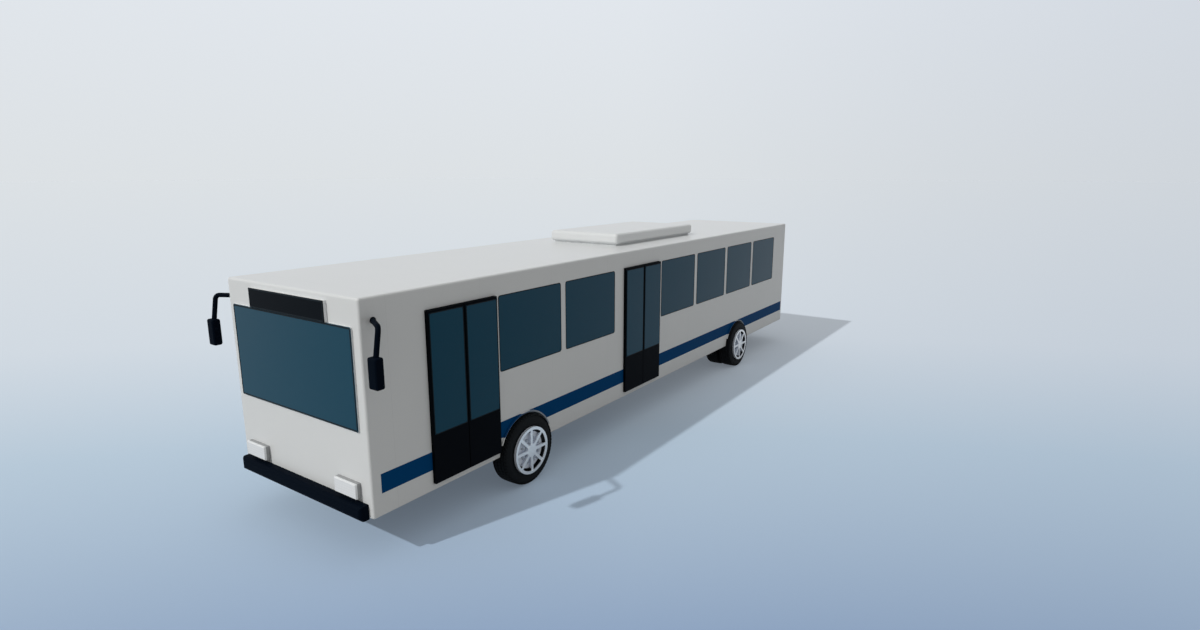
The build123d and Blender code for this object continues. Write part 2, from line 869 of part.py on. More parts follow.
def seat_backs():
    backs = []
    for side, y, base in seat_places():
        low = base + seat_height
        y1 = y + seat_depth
        back = block(seat_x0, seat_x1, y1 - seat_back_wall, y1, low, low + seat_back_height)
        backs.append(sided(back, side))
    return backs


def seat_pedestals():
    legs = []
    middle_x = (seat_x0 + seat_x1) / 2
    x0, x1 = middle_x - pedestal_width / 2, middle_x + pedestal_width / 2
    for side, y, base in seat_places():
        y0 = y + (seat_depth - pedestal) / 2
        leg = block(x0, x1, y0, y0 + pedestal, base, base + seat_height - seat_wall)
        leg -= housing_solid(rear_axle_y, rear_housing_inset, housing_wall)
        legs.append(sided(leg, side))
    return legs


def bench_seat():
    return block(-seat_x1, seat_x1, bench_y, rear_y - wall, engine_deck_z, engine_deck_z + bench_height)


def bench_back():
    low = engine_deck_z + bench_height
    y1 = rear_y - wall
    return block(-seat_x1, seat_x1, y1 - seat_back_wall, y1, low, low + bench_back_height)


def poles():
    x = seat_x0 + pole_inset
    ys = [first_seat_y + row * seat_pitch - pole_seat_gap for row in pole_rows]
    ys.append(platform_y - pole_step_gap)
    return [rod_z(sign * x, y, floor_z, roof_joint_z, pole_r) for y in ys for sign in (-1, 1)]


# ---------------------------------------------------------------- driver's place
def dashboard():
    top = block(-inner_half, -dash_inner_x, dash_y, dash_y + dash_depth, dash_low_z, dash_top_z)
    foot = block(-inner_half, -dash_inner_x, dash_y, dash_y + dash_depth / 2, floor_z, dash_low_z + past)
    return top + foot


def steering_wheel():
    wheel = Torus(steering_wheel_r, steering_wheel_bar)
    wheel += Box(2 * steering_wheel_r, steering_spoke, steering_spoke_wall)
    wheel += Pos(0, 0, -steering_hub_drop) * Cylinder(steering_hub_r, steering_hub_length)
    wheel += Pos(0, 0, -column_length / 2) * Cylinder(column_r, column_length)
    place = Pos(-driver_x, dash_y + dash_depth + steering_setback, dash_top_z + steering_rise)
    return place * Rot(-steering_tilt, 0, 0) * wheel - dashboard()


def driver_seat_base():
    """The driver's step and the stand of the seat."""
    step_z = floor_z + driver_step
    y0, y1 = driver_y - driver_step_reach, driver_y + seat_depth + driver_step_reach
    step = block(-driver_x - driver_step_half, -driver_x + driver_step_half, y0, y1, floor_z, step_z)
    stand_reach = driver_stand / 2
    stand_top = step_z + seat_height - driver_pad
    return step + block(-driver_x - stand_reach, -driver_x + stand_reach, driver_y + driver_stand_inset,
                        driver_y + seat_depth - driver_stand_inset, step_z - past, stand_top)


def driver_seat_pads():
    reach = driver_width / 2
    y1 = driver_y + driver_depth
    top = floor_z + driver_step + seat_height
    cushion = block(-driver_x - reach, -driver_x + reach, driver_y, y1, top - driver_pad, top)
    back = block(-driver_x - reach, -driver_x + reach, y1 - driver_pad, y1, top + running_gap,
                 top + driver_back_height)
    return [cushion, back]


def cab_partition():
    y = front_y + partition_back
    return block(-inner_half, driver_step_half - driver_x, y, y + partition_wall, floor_z, partition_top_z)


# ---------------------------------------------------------------- the nodes
nodes = {
    "roof": roof(),
    "front_wall": front_wall(),
    "rear_wall": rear_wall(),
    "side_wall_left": side_wall(1, left_slots, (front_door_back, mid_door_back)),
    "side_wall_right": side_wall(-1, right_slots, ()),
    "windscreen": windscreen(),
    "windows": side_panes(1, left_slots) + side_panes(-1, right_slots) + [rear_window()],
    "destination_sign": destination_sign(),
    "headlamps": headlamps(),
    "tail_lamps": tail_lamps(),
    "bumpers": [bumper(front_y - bumper_proud, front_y, -1), bumper(rear_y, rear_y + bumper_proud, 1)],
    "side_stripes": side_stripe(1) + side_stripe(-1),
    "roof_unit": roof_unit(),
    "mirrors": [mirror_unit(), mirrored(mirror_unit())],
    "mirror_faces": [mirror_face(), mirrored(mirror_face())],
    "wheel_housings": [sided(wheel_housing(*spec), side) for spec in housings for side in (1, -1)],
    "arch_lips": [sided(arch_lip(axle_y), side) for axle_y, inset in housings for side in (1, -1)],
    "floor": floor(),
    "side_rails": [side_rail(side) for side in (1, -1)],
    "cross_members": cross_members(),
    "tow_brackets": [tow_plate_with_eye(front_tow_y, rail_x), rear_tow_bracket()],
    "engine": engine(),
    "engine_lid": engine_lid(),
    "front_axle": front_axle(),
    "rear_axle": rear_axle(),
    "air_springs": air_springs(),
    "seat_cushions": seat_cushions() + [bench_seat()],
    "seat_backs": seat_backs() + [bench_back()],
    "seat_pedestals": seat_pedestals(),
    "grab_poles": poles(),
    "dashboard": dashboard(),
    "steering_wheel": steering_wheel(),
    "driver_seat_base": driver_seat_base(),
    "driver_seat_pads": driver_seat_pads(),
    "cab_partition": cab_partition(),
}
for name, side in (("left", 1), ("right", -1)):
    twin = [tyre(wheel_x, rear_axle_y), tyre(inner_wheel_x, rear_axle_y)]
    nodes[f"knuckle_{name}"] = knuckle(side)
    nodes[f"tyre_front_{name}"] = sided(tyre(wheel_x, front_axle_y), side)
    nodes[f"rim_front_{name}"] = front_rim(side)
    nodes[f"tyres_rear_{name}"] = [sided(ring, side) for ring in twin]
    nodes[f"rim_rear_{name}"] = rear_rim(side)
for name, door_back in (("front", front_door_back), ("mid", mid_door_back)):
    for number, leaf in ((1, 1), (2, -1)):
        nodes[f"{name}_door_leaf_{number}"] = door_leaf(door_back, leaf)
        nodes[f"{name}_door_glass_{number}"] = door_pane(door_back, leaf)

os.makedirs("parts", exist_ok=True)
for name, solids in nodes.items():
    piece = Compound(children=solids) if isinstance(solids, list) else solids
    export_step(piece, f"parts/{name}.step")
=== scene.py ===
"""City bus: finishes, treaded tyres, seals, seats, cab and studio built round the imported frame.

Metres, +Z up, +X to the bus's left (the door side), and the front faces -Y, as in the frame.
"""

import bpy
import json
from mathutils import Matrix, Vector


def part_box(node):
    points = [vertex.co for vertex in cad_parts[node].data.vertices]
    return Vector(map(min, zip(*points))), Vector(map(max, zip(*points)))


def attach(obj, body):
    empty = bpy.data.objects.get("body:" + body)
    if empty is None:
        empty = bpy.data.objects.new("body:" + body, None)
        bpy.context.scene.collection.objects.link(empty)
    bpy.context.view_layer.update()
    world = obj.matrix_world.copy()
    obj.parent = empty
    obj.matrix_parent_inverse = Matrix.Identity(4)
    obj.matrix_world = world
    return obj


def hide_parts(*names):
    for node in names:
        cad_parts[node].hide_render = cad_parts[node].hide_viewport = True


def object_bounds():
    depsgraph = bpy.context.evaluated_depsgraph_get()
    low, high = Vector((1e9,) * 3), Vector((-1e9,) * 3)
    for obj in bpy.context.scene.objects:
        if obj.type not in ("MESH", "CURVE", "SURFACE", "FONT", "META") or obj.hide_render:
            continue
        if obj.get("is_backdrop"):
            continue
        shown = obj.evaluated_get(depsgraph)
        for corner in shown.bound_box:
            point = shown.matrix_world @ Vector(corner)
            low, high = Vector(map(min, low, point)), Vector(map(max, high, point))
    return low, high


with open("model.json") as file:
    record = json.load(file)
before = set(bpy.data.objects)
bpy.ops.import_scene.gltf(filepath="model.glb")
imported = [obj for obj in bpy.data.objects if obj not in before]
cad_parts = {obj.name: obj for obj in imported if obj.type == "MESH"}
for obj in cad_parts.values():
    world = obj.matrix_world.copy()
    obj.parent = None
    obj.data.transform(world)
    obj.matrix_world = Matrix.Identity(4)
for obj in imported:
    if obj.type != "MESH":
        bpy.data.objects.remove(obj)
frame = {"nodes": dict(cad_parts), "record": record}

import inspect
import json
import math
from functools import partialmethod

import bmesh
import bpy
import numpy as np
from bpy.props import FloatProperty, FloatVectorProperty, IntProperty, PointerProperty
from bpy.types import Operator, Panel, PropertyGroup, Scene
from mathutils import Vector

bl_info = {
    "name": "City Bus Dressing",
    "version": (1, 0, 0),
    "blender": (4, 5, 0),
    "location": "3D View > Sidebar > City Bus",
    "description": "Finishes, tyres, seals, seats, cab and studio for a packed city bus",
    "category": "Object",
}

BUS = "bus"
SIDES = {"left": 1, "right": -1}
AXLES = ("front", "rear")
# Y of the joint between body panels that the others are counted from.
FIRST_JOINT = -0.3175
DUST = (0.30, 0.28, 0.25)
RUST = (0.16, 0.065, 0.028)
# The floor's glow at its far end, and the slope down to it that counts as the middle of the floor.
FLOOR_GLOW, MIDDLE = 0.33, 0.40
cad_box = [list(corner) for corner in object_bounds()]
finishes = {}


# ---- sizes and colours
def vector(name, description, default, subtype, **kind):
    return FloatVectorProperty(name=name, description=description, default=default, subtype=subtype, **kind)


def colour(name, description, default):
    return vector(name, description, default, "COLOR", min=0, max=1)


def number(name, description, default, **kind):
    return FloatProperty(name=name, description=description, default=default, min=0, **kind)


def length(name, description, default):
    return number(name, description, default, subtype="DISTANCE", unit="LENGTH")


class PaintSettings(PropertyGroup):
    body: colour("Body", "Enamel of the walls, roof and roof unit", (0.79, 0.805, 0.81))
    stripe: colour("Stripe", "Film of the stripe along the sides", (0.001, 0.060, 0.190))
    door: colour("Doors", "Satin enamel of the door leaves", (0.003, 0.004, 0.006))
    trim: colour("Trim", "Moulded bumpers, mirrors and dashboard", (0.002, 0.0045, 0.0095))
    liner: colour("Liners", "Wheel housings and partition", (0.15, 0.16, 0.17))
    # Arches: painted shade, laid on the arch lips' inner face and behind the axle for the shaded inside of the
    # wheel housing.
    arch: colour("Arches", "Road dirt on the arch lips", (0.33, 0.38, 0.44))
    chassis: colour("Chassis", "Enamel of the underframe", (0.035, 0.036, 0.040))
    casting: colour("Castings", "Axles, knuckles and engine", (0.085, 0.088, 0.092))
    panel_pitch: length("Panel pitch", "Spacing of the joints between body panels", 1.364)


class GlassSettings(PropertyGroup):
    tint: colour("Tint", "Body colour of the side and door glass", (0.003, 0.062, 0.113))
    screen: colour("Screen tint", "Body colour of the windscreen", (0.009, 0.068, 0.115))
    seal_width: length("Seal width", "Width of the rubber bead round a side window", 0.012)
    seal_height: length("Seal height", "How far that bead stands out of the wall", 0.004)
    screen_seal: length("Windscreen seal", "Width of the bead round the windscreen", 0.016)


class WheelSettings(PropertyGroup):
    rubber: colour("Rubber", "Carcass rubber of the tyres", (0.006, 0.007, 0.008))
    enamel: colour("Wheel enamel", "Silver enamel of the wheels", (0.98, 0.98, 0.98))
    disc: colour("Disc", "Enamel of the disc behind a wheel's spokes", (0.78, 0.84, 0.94))
    pitches: IntProperty(name="Tread pitches", description="Lateral slots round a tyre", default=60, min=1)
    groove_depth: length("Groove depth", "Depth of the grooves round the tread", 0.013)
    groove_width: length("Groove width", "Width of the grooves round the tread", 0.010)
    nut_circle: length("Nut circle", "Radius of the circle of wheel nuts", 0.1675)
    nut_size: length("Nut size", "Width across the flats of a wheel nut", 0.033)


class SeatSettings(PropertyGroup):
    shell: colour("Seat shell", "Moulded shell of the passenger seats", (0.10, 0.12, 0.15))
    cloth: colour("Seat cloth", "Ground colour of the glued seat cloth", (0.012, 0.050, 0.150))
    fleck: colour("Seat fleck", "Second colour of the seat cloth", (0.10, 0.30, 0.52))
    driver: colour("Driver's cloth", "Woven cover of the driver's seat", (0.035, 0.040, 0.050))
    wall: length("Shell wall", "Thickness of a moulded seat shell", 0.014)
    flank: length("Flank", "How far the sides of a shell rise", 0.022)
    frame_r: length("Frame tube", "Radius of the tubes under a pair of seats", 0.010)


class CabSettings(PropertyGroup):
    floor: colour("Floor", "Speckled safety flooring", (0.055, 0.060, 0.066))
    pole: colour("Poles", "Powder coat of the grab poles", (0.62, 0.40, 0.02))
    dial_r: length("Dial", "Radius of the two large dials", 0.050)
    key_pitch: length("Key pitch", "Spacing of the rocker switches", 0.034)


class StageSettings(PropertyGroup):
    near: colour("Near floor", "Lit floor close to the viewer", (0.292, 0.392, 0.548))
    middle: colour("Middle floor", "Lit floor round the bus", (0.475, 0.585, 0.69))
    beyond: colour("Floor beyond", "Lit floor past the bus", (0.64, 0.70, 0.762))
    far: colour("Far floor", "Lit floor at the horizon", (0.72, 0.755, 0.783))
    shade: colour("Shade", "Least light that is seen in the floor's shadows", (0.09, 0.11, 0.135))
    sky: colour("Sky", "Backdrop high above the horizon", (0.76, 0.80, 0.85))
    bounce: colour("Bounce", "Floor as it lights the bus from below", (0.48, 0.485, 0.485))
    sun: colour("Sun colour", "Colour of the key light", (1.0, 1.0, 0.985))
    sun_strength: number("Sun strength", "Strength of the key light", 1.62)
    sun_angle: number("Sun size", "Angle that the key light fills", math.radians(1.2), subtype="ANGLE")
    sun_course: vector("Sun course", "Which way the key light shines", (0.32, 1.13, -1.0), "DIRECTION")
    fill_colour: colour("Fill colour", "Colour of the light from all round", (1.0, 0.995, 0.98))
    fill: number("Fill", "Strength of the light from all round", 0.228)
    overhead: number("Overhead", "How much stronger that light is straight overhead", 0.25)
    lens: number("Lens", "Focal length of the camera", 20.265, unit="CAMERA")
    eye: vector("Eye", "Place of the camera", (6.951, -10.1385, 4.135), "TRANSLATION", unit="LENGTH")
    aim: vector("Aim", "Direction of the camera", (-0.5559, 0.8053, -0.2062), "DIRECTION")


GROUPS = (("paint", PaintSettings), ("glass", GlassSettings), ("wheels", WheelSettings),
          ("seats", SeatSettings), ("cab", CabSettings), ("stage", StageSettings))


def settings(group):
    return getattr(bpy.context.scene, "city_bus_" + group)


# ---- shapes as arrays
def grid(rows, columns, wrap_rows=False, wrap_columns=False):
    """Quads between neighbours in a grid of points; a wrapped side joins its last to its first."""
    r0, c0 = np.meshgrid(np.arange(rows - (not wrap_rows)), np.arange(columns - (not wrap_columns)),
                         indexing="ij")
    r1, c1 = (r0 + 1) % rows, (c0 + 1) % columns
    quads = [r0 * columns + c0, r0 * columns + c1, r1 * columns + c1, r1 * columns + c0]
    return np.stack(quads, -1).reshape(-1, 4)


def joined(shapes):
    """Several shapes as one: points stacked, and each one's faces counted on from its first point."""
    starts = np.cumsum([0] + [len(points) for points, faces in shapes[:-1]])
    faces = [faces + start for (points, faces), start in zip(shapes, starts)]
    return np.vstack([points for points, faces in shapes]), np.vstack(faces)


def swept(along, radius, steps, centre=(0, 0, 0), axis=0):
    """A section carried round an axis: along it, and radius times cosine and sine of the angle."""
    angle = np.linspace(0, 2 * np.pi, steps, endpoint=False)[:, None]
    ring = np.empty((steps, len(along), 3))
    ring[..., axis] = along
    ring[..., (axis + 1) % 3] = radius * np.cos(angle)
    ring[..., (axis + 2) % 3] = radius * np.sin(angle)
    return ring.reshape(-1, 3) + centre, grid(steps, len(along), True, True)


def turned(profile, steps, centre=(0, 0, 0), axis=0, capped=True):
    """A profile of (along, radius) rows turned about an axis, and closed across it unless it's a ring."""
    if capped:
        profile = [(profile[0][0], 0), *profile, (profile[-1][0], 0)]
    return swept(*np.asarray(profile, float).T, steps, centre, axis)


def copied(shape, places):
    """One shape moved to each of several places."""
    points, faces = shape
    return joined([(points + place, faces) for place in places])


def blocks(lows, highs):
    """Boxes between pairs of corners: each corner's coordinate picks the low or the high one."""
    pick = np.array([[i >> 2 & 1, i >> 1 & 1, i & 1] for i in range(8)])
    quads = np.array([[0, 1, 3, 2], [4, 6, 7, 5], [0, 4, 5, 1], [2, 3, 7, 6], [0, 2, 6, 4], [1, 5, 7, 3]])
    lows, highs = np.atleast_2d(lows), np.atleast_2d(highs)
    points = lows[:, None] * (1 - pick) + highs[:, None] * pick
    faces = quads + 8 * np.arange(len(lows))[:, None, None]
    return points.reshape(-1, 3), faces.reshape(-1, 4)


def pillow(low, high, power, rings, spokes):
    """A rounded block: a globe, its sines and cosines flattened by a power, scaled to its corners."""
    low, high = np.asarray(low, float), np.asarray(high, float)
    up = np.linspace(-np.pi / 2, np.pi / 2, rings)[:, None]
    turn = np.linspace(0, 2 * np.pi, spokes, endpoint=False)
    flat = lambda value: np.sign(value) * np.abs(value) ** (2 / power)
    unit = np.stack([flat(np.cos(up)) * flat(np.cos(turn)), flat(np.cos(up)) * flat(np.sin(turn)),
                     flat(np.sin(up)) * np.ones_like(turn)], -1)
    return (low + high) / 2 + unit.reshape(-1, 3) * (high - low) / 2, grid(rings, spokes, False, True)


def bead(low, high, axis, face, out, radius, width, height):
    """A bead round a pane: a rectangle with round corners, carrying an ellipse that is flat underneath.

    width lies across the joint, height stands out of the wall, and axis is the wall's normal."""
    steps = 6
    angle = (np.linspace(0, np.pi / 2, steps) + np.arange(4)[:, None] * np.pi / 2).ravel()
    section = np.linspace(0, 2 * np.pi, 12, endpoint=False)
    across = width / 2 * np.cos(section)
    ring = np.empty((len(angle), len(section), 3))
    for k, normal, side in zip([k for k in range(3) if k != axis], (np.cos(angle), np.sin(angle)),
                               ((1, -1, -1, 1), (1, 1, -1, -1))):
        centre = np.where(np.repeat(side, steps) > 0, high[k] - radius, low[k] + radius)
        ring[..., k] = (centre + radius * normal)[:, None] + across * normal[:, None]
    ring[..., axis] = face + out * np.maximum(height * np.sin(section), -0.001)
    return ring.reshape(-1, 3), grid(len(angle), len(section), True, True)


def rounded_path(corners, radii, steps):
    """Points along straight runs joined by arcs, whose circles touch the runs."""
    corners = [np.asarray(corner, float) for corner in corners]
    parts = [corners[:1]]
    for before, corner, after, radius in zip(corners, corners[1:], corners[2:], radii):
        a, b = ((end - corner) / np.linalg.norm(end - corner) for end in (before, after))
        half = math.acos(float(np.clip(a @ b, -1, 1))) / 2
        centre = corner + (a + b) / np.linalg.norm(a + b) * radius / math.sin(half)
        start, end = (corner + way * radius / math.tan(half) for way in (a, b))
        t = np.linspace(0, 1, steps)[:, None]
        spread = math.pi - 2 * half
        arc = np.sin((1 - t) * spread) * (start - centre) + np.sin(t * spread) * (end - centre)
        parts.append(centre + arc / math.sin(spread))
    return np.vstack(parts + [corners[-1:]])


def thick(top, bottom):
    """Two grids of points closed along their borders into one shell."""
    rows, columns = top.shape[:2]
    count = rows * columns
    index = np.arange(count).reshape(rows, columns)
    border = np.concatenate([index[0], index[1:, -1], index[-1, -2::-1], index[-2:0:-1, 0]])
    after = np.roll(border, -1)
    rim = np.stack([border, after, after + count, border + count], 1)
    faces = np.vstack([grid(rows, columns), grid(rows, columns)[:, ::-1] + count, rim])
    return np.vstack([top.reshape(-1, 3), bottom.reshape(-1, 3)]), faces


# ---- pieces in the scene
def triples(items, label, kind=float):
    """A three-part attribute of each of a mesh's items, as rows."""
    values = np.empty(3 * len(items), kind)
    items.foreach_get(label, values)
    return values.reshape(-1, 3)


def solids_of(part):
    """Lowest and highest corner of each solid of a CAD node.

    Corners in one place share a number, and triangles pass their lowest number on until none changes."""
    mesh = frame["nodes"][part].data
    mesh.calc_loop_triangles()
    points = triples(mesh.vertices, "co")
    place = np.unique(np.round(points, 5), axis=0, return_inverse=True)[1].ravel()
    corners = place[triples(mesh.loop_triangles, "vertices", int)]
    label, lower = None, np.arange(place.max() + 1)
    while label is None or (lower != label).any():
        label = lower
        lower = label.copy()
        np.minimum.at(lower, corners, label[corners].min(1)[:, None])
        lower = lower[lower]
    own = label[place]
    found = [(points[own == k].min(0), points[own == k].max(0)) for k in np.unique(own)]
    return sorted(found, key=lambda corners: tuple(corners[0].round(3)))


def box(part):
    """Lowest and highest corner of a CAD node, as arrays."""
    low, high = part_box(part)
    return np.array(low), np.array(high)


def put(thing, **traits):
    """A thing with its traits set."""
    for trait, value in traits.items():
        setattr(thing, trait, value)
    return thing


def linked(name, data):
    """A new object in the scene."""
    made = bpy.data.objects.new(name, data)
    bpy.context.scene.collection.objects.link(made)
    return made


def add_piece(name, shape, finish, slot=None, body=BUS, stands_for=(), sharp=35, bevel=0.0):
    """A mesh piece riding on a body: doubles merged, faces turned outwards, smooth up to the sharp angle.

    A slot is worked out from the finish and the slot given, but it is not used."""
    points, faces = shape
    mesh = bpy.data.meshes.new(name)
    mesh.from_pydata(points.tolist(), [], faces.tolist())
    work = bmesh.new()
    work.from_mesh(mesh)
    bmesh.ops.remove_doubles(work, verts=work.verts, dist=1e-5)
    bmesh.ops.recalc_face_normals(work, faces=work.faces)
    work.to_mesh(mesh)
    work.free()
    mesh.polygons.foreach_set("use_smooth", [True] * len(mesh.polygons))
    mesh.set_sharp_from_angle(angle=math.radians(sharp))
    piece = linked(name, mesh)
    mesh.materials.append(finishes[finish])
    if bevel:
        put(piece.modifiers.new("Bevel", "BEVEL"), width=bevel, segments=2, limit_method="ANGLE")
    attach(piece, body)
    slot = finish if slot is None else slot
    if stands_for:
        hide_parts(*stands_for)
    return piece


# ---- shader nodes
class Value:
    """A number or colour in a node tree. Arithmetic adds nodes to the tree, and | takes the larger of two."""

    def __init__(self, tree, socket):
        self.tree, self.socket = tree, socket

    def math(self, operation, *others, **traits):
        return node(self.tree, "Math", (self, *others), operation=operation, **traits)

    def after(self, operation, other):
        return node(self.tree, "Math", (other, self), operation=operation)

    __add__ = partialmethod(math, "ADD")
    __sub__ = partialmethod(math, "SUBTRACT")
    __rsub__ = partialmethod(after, "SUBTRACT")
    __mul__ = partialmethod(math, "MULTIPLY")
    __truediv__ = partialmethod(math, "DIVIDE")
    __rtruediv__ = partialmethod(after, "DIVIDE")
    __lt__ = partialmethod(math, "LESS_THAN")
    __gt__ = partialmethod(math, "GREATER_THAN")
    __or__ = partialmethod(math, "MAXIMUM")
    __abs__ = partialmethod(math, "ABSOLUTE")

    def ramp(self, low, high, start=0.0, end=1.0):
        """This value stretched from low..high to start..end, and held there beyond it."""
        return node(self.tree, "MapRange", (self, low, high, start, end))

    def mix(self, first, second):
        """The first colour where this value is 0, and the second where it is 1."""
        return node(self.tree, "Mix", {0: self, 6: first, 7: second}, 2, data_type="RGBA")

    def banded(self, stops, **traits):
        """The colour that this value has in a ramp of (place, colour) stops, the first of them at 0."""
        found = node(self.tree, "ValToRGB", (self,))
        spots = put(found.socket.node.color_ramp, **traits).elements
        spots.remove(spots[-1])
        for place, shade in stops:
            put(spots.new(place) if place else spots[0], color=(*shade, 1))
        return found


def feed(tree, value, socket):
    """A link where the value comes from a node, and a plain number or colour otherwise."""
    if isinstance(value, Value):
        tree.links.new(value.socket, socket)
    else:
        socket.default_value = (*value, 1) if socket.type == "RGBA" else value


def node(tree, kind, given=(), output=0, **traits):
    """One output of a new shader node, with its traits set and its inputs fed in order or by name."""
    made = put(tree.nodes.new("ShaderNode" + kind), **traits)
    for key, value in given.items() if isinstance(given, dict) else enumerate(given):
        feed(tree, value, made.inputs[key])
    return Value(tree, made.outputs[output])


def axes(place):
    """The three parts of a vector."""
    x = node(place.tree, "SeparateXYZ", (place,))
    return [Value(place.tree, part) for part in x.socket.node.outputs]


def coordinates(tree, kind="Object"):
    return axes(node(tree, "TexCoord", output=kind))


def noise(place, scale, detail):
    return node(place.tree, "TexNoise", {"Vector": place, "Scale": scale, "Detail": detail})


def cells(place, scale):
    """Distance to the nearest of many scattered points, and that point's random colour."""
    near = node(place.tree, "TexVoronoi", {"Vector": place, "Scale": scale}, "Distance")
    return near, Value(place.tree, near.socket.node.outputs["Color"])


# ---- effects, each a node group
def tone_drift(place, colour=(0.8, 0.8, 0.8, 1), spread=0.05, scale=1.3):
    """Colour that drifts from place to place: its value times one plus spread times a soft noise."""
    value = (noise(place, scale, 5) - 0.5) * (spread * 2) + 1.0
    return {"Colour": node(place.tree, "HueSaturation", {"Value": value, "Color": colour})}


def road_dust(place, top=1.0, amount=0.4):
    """Mask of road dust: the square of how far below Top a point is, broken up by a noise."""
    depth = axes(place)[2].ramp(top, 0.15)
    broken = noise(place, 4.5, 8).ramp(0.3, 0.75, 0.35, 1.0)
    return {"Mask": (depth * depth * broken).math("MULTIPLY", amount, use_clamp=True)}


def fine_grain(place, grains=400.0):
    """Height of a fine grain: the distance to the nearest of many cells, softened by noise."""
    return {"Height": cells(place, grains)[0] * 0.5 + noise(place, grains * 0.6, 2) * 0.5}


def weave(place, threads=900.0):
    """Plain weave: warp and weft are a sine each, and a chequer of threads says which is on top."""
    x, y, z = axes(place)
    across, along = x * threads, (y + z) * threads
    warp, weft = (abs((value * math.pi).math("SINE")) for value in (across, along))
    top = abs((across.math("FLOOR") + along.math("FLOOR")).math("MODULO", 2))
    return {"Height": warp * top + weft * (1 - top), "Warp": top}


def flecks(place, scale=160.0, share=0.3):
    """Mask of scattered chips: the heart of a cell, in the share of cells with a low random value."""
    near, shade = cells(place, scale)
    return {"Mask": (axes(shade)[0] < share) * (near < 0.38)}


def panel_joints(place, pitch=1.364, first=0.0, width=0.004):
    """Mask of the joints between panels: within half a width of a whole number of pitches."""
    along = (axes(place)[1] - first) / pitch
    half = width * 0.5
    return {"Mask": (abs(along - along.math("ROUND")) * pitch).ramp(half, half * 0.5)}


def lens_ribs(place, pitch=0.02):
    """Height of the ribs in a lens: the larger of two rounded waves, across and up."""
    across, up = (abs((value * math.pi / pitch).math("SINE")) for value in axes(place)[::2])
    return {"Height": across | up}


def rust_and_grime(place, amount=0.4):
    """Mask of rust and grime: where a coarse noise and a fine one are both high."""
    coarse, fine = noise(place, 2.2, 6).ramp(0.48, 0.72), noise(place, 38, 8).ramp(0.40, 0.65)
    return {"Mask": coarse * fine * amount}


def title(name):
    return name.replace("_", " ").capitalize()


def make_group(effect):
    """An effect's node group: a socket for each of its arguments and results, round its formula."""
    tree = bpy.data.node_groups.new(title(effect.__name__), "ShaderNodeTree")

    def add_socket(label, way):
        kind = "NodeSocketColor" if label == "Colour" else "NodeSocketFloat"
        return tree.interface.new_socket(name=label, in_out=way, socket_type=kind)

    given = list(inspect.signature(effect).parameters.values())[1:]
    for argument in given:
        add_socket(title(argument.name), "INPUT").default_value = argument.default
    coming = tree.nodes.new("NodeGroupInput").outputs
    made = effect(node(tree, "TexCoord", output="Object"), *(Value(tree, k) for k in coming[:len(given)]))
    for label in made:
        add_socket(label, "OUTPUT")
    going = tree.nodes.new("NodeGroupOutput").inputs
    for label, value in made.items():
        feed(tree, value, going[label])
    return tree


# ---- finishes
class Finish:
    """A Principled material, with its plain numbers and colours on the shader's own sockets."""

    def __init__(self, name, tint, roughness, **sockets):
        self.material = bpy.data.materials.new(name)
        self.material.use_nodes = True
        self.tree = self.material.node_tree
        self.shade, self.relief = tint, None
        self.set(Base_Color=tint, Roughness=roughness, **sockets)

    def set(self, **sockets):
        """Numbers, colours or values of nodes for the shader's sockets."""
        shader = self.tree.nodes["Principled BSDF"]
        for label, value in sockets.items():
            feed(self.tree, value, shader.inputs[label.replace("_", " ")])

    def use(self, effect, output=0, **values):
        """One output of an effect's node group, made if it's new, with this material's values."""
        group = bpy.data.node_groups.get(title(effect.__name__)) or make_group(effect)
        given = {title(label): value for label, value in values.items()}
        return node(self.tree, "Group", given, output, node_tree=group)

    def paint(self, mask, tint):
        """The tint laid over the base colour as far as the mask goes."""
        self.shade = mask.mix(self.shade, tint)
        self.set(Base_Color=self.shade)

    def raise_by(self, height, strength, distance=0.001):
        """A bump on the shader's normal, laid over the one before it."""
        given = {"Strength": strength, "Distance": distance, "Height": height}
        if self.relief:
            given["Normal"] = self.relief
        self.relief = node(self.tree, "Bump", given)
        self.set(Normal=self.relief)


def coated(name, tint, roughness, spread=0.03, dust=0.0, top=1.0, grains=500, bump=0.03, rust=0.0, **sockets):
    """Enamel or moulded plastic: drifting colour, dust that gathers low down, and a fine grain."""
    made = Finish(name, tint, roughness, **sockets)
    made.shade = made.use(tone_drift, colour=tint, spread=spread)
    dusty = made.use(road_dust, top=top, amount=dust)
    made.paint(dusty, DUST)
    dull = dusty.ramp(0, 1, roughness, 0.85)
    if rust:
        rusty = made.use(rust_and_grime, amount=rust)
        made.paint(rusty, RUST)
        dull = dull | rusty.ramp(0, 1, roughness, 0.9)
    made.set(Roughness=dull)
    made.raise_by(made.use(fine_grain, grains=grains), bump)
    return made


def body_paint():
    """Gloss enamel over a sprayed primer, with the faint joints of the panels under it."""
    paint = settings("paint")
    made = coated("body_paint", paint.body, 0.30, spread=0.012, dust=0.22, top=0.9, grains=260, bump=0.012,
                  Coat_Weight=0.05, Coat_Roughness=0.08, Specular_IOR_Level=0.25)
    joint = made.use(panel_joints, pitch=paint.panel_pitch, first=FIRST_JOINT, width=0.004)
    made.raise_by(joint * -1, 0.5, 0.0015)
    made.paint(joint * 0.15, (0.25, 0.25, 0.25))
    return made


def behind(tree, part, depth, margin=None):
    """One where a fitting of the front is deeper than its face by a depth; a margin keeps it to the edges."""
    low, high = box(part)
    place = coordinates(tree)
    mask = place[1] > low[1] + depth
    if margin is None:
        return mask
    across, up = (abs(place[k] - (low[k] + high[k]) / 2) > (high[k] - low[k]) / 2 - margin for k in (0, 2))
    return mask * (across | up)


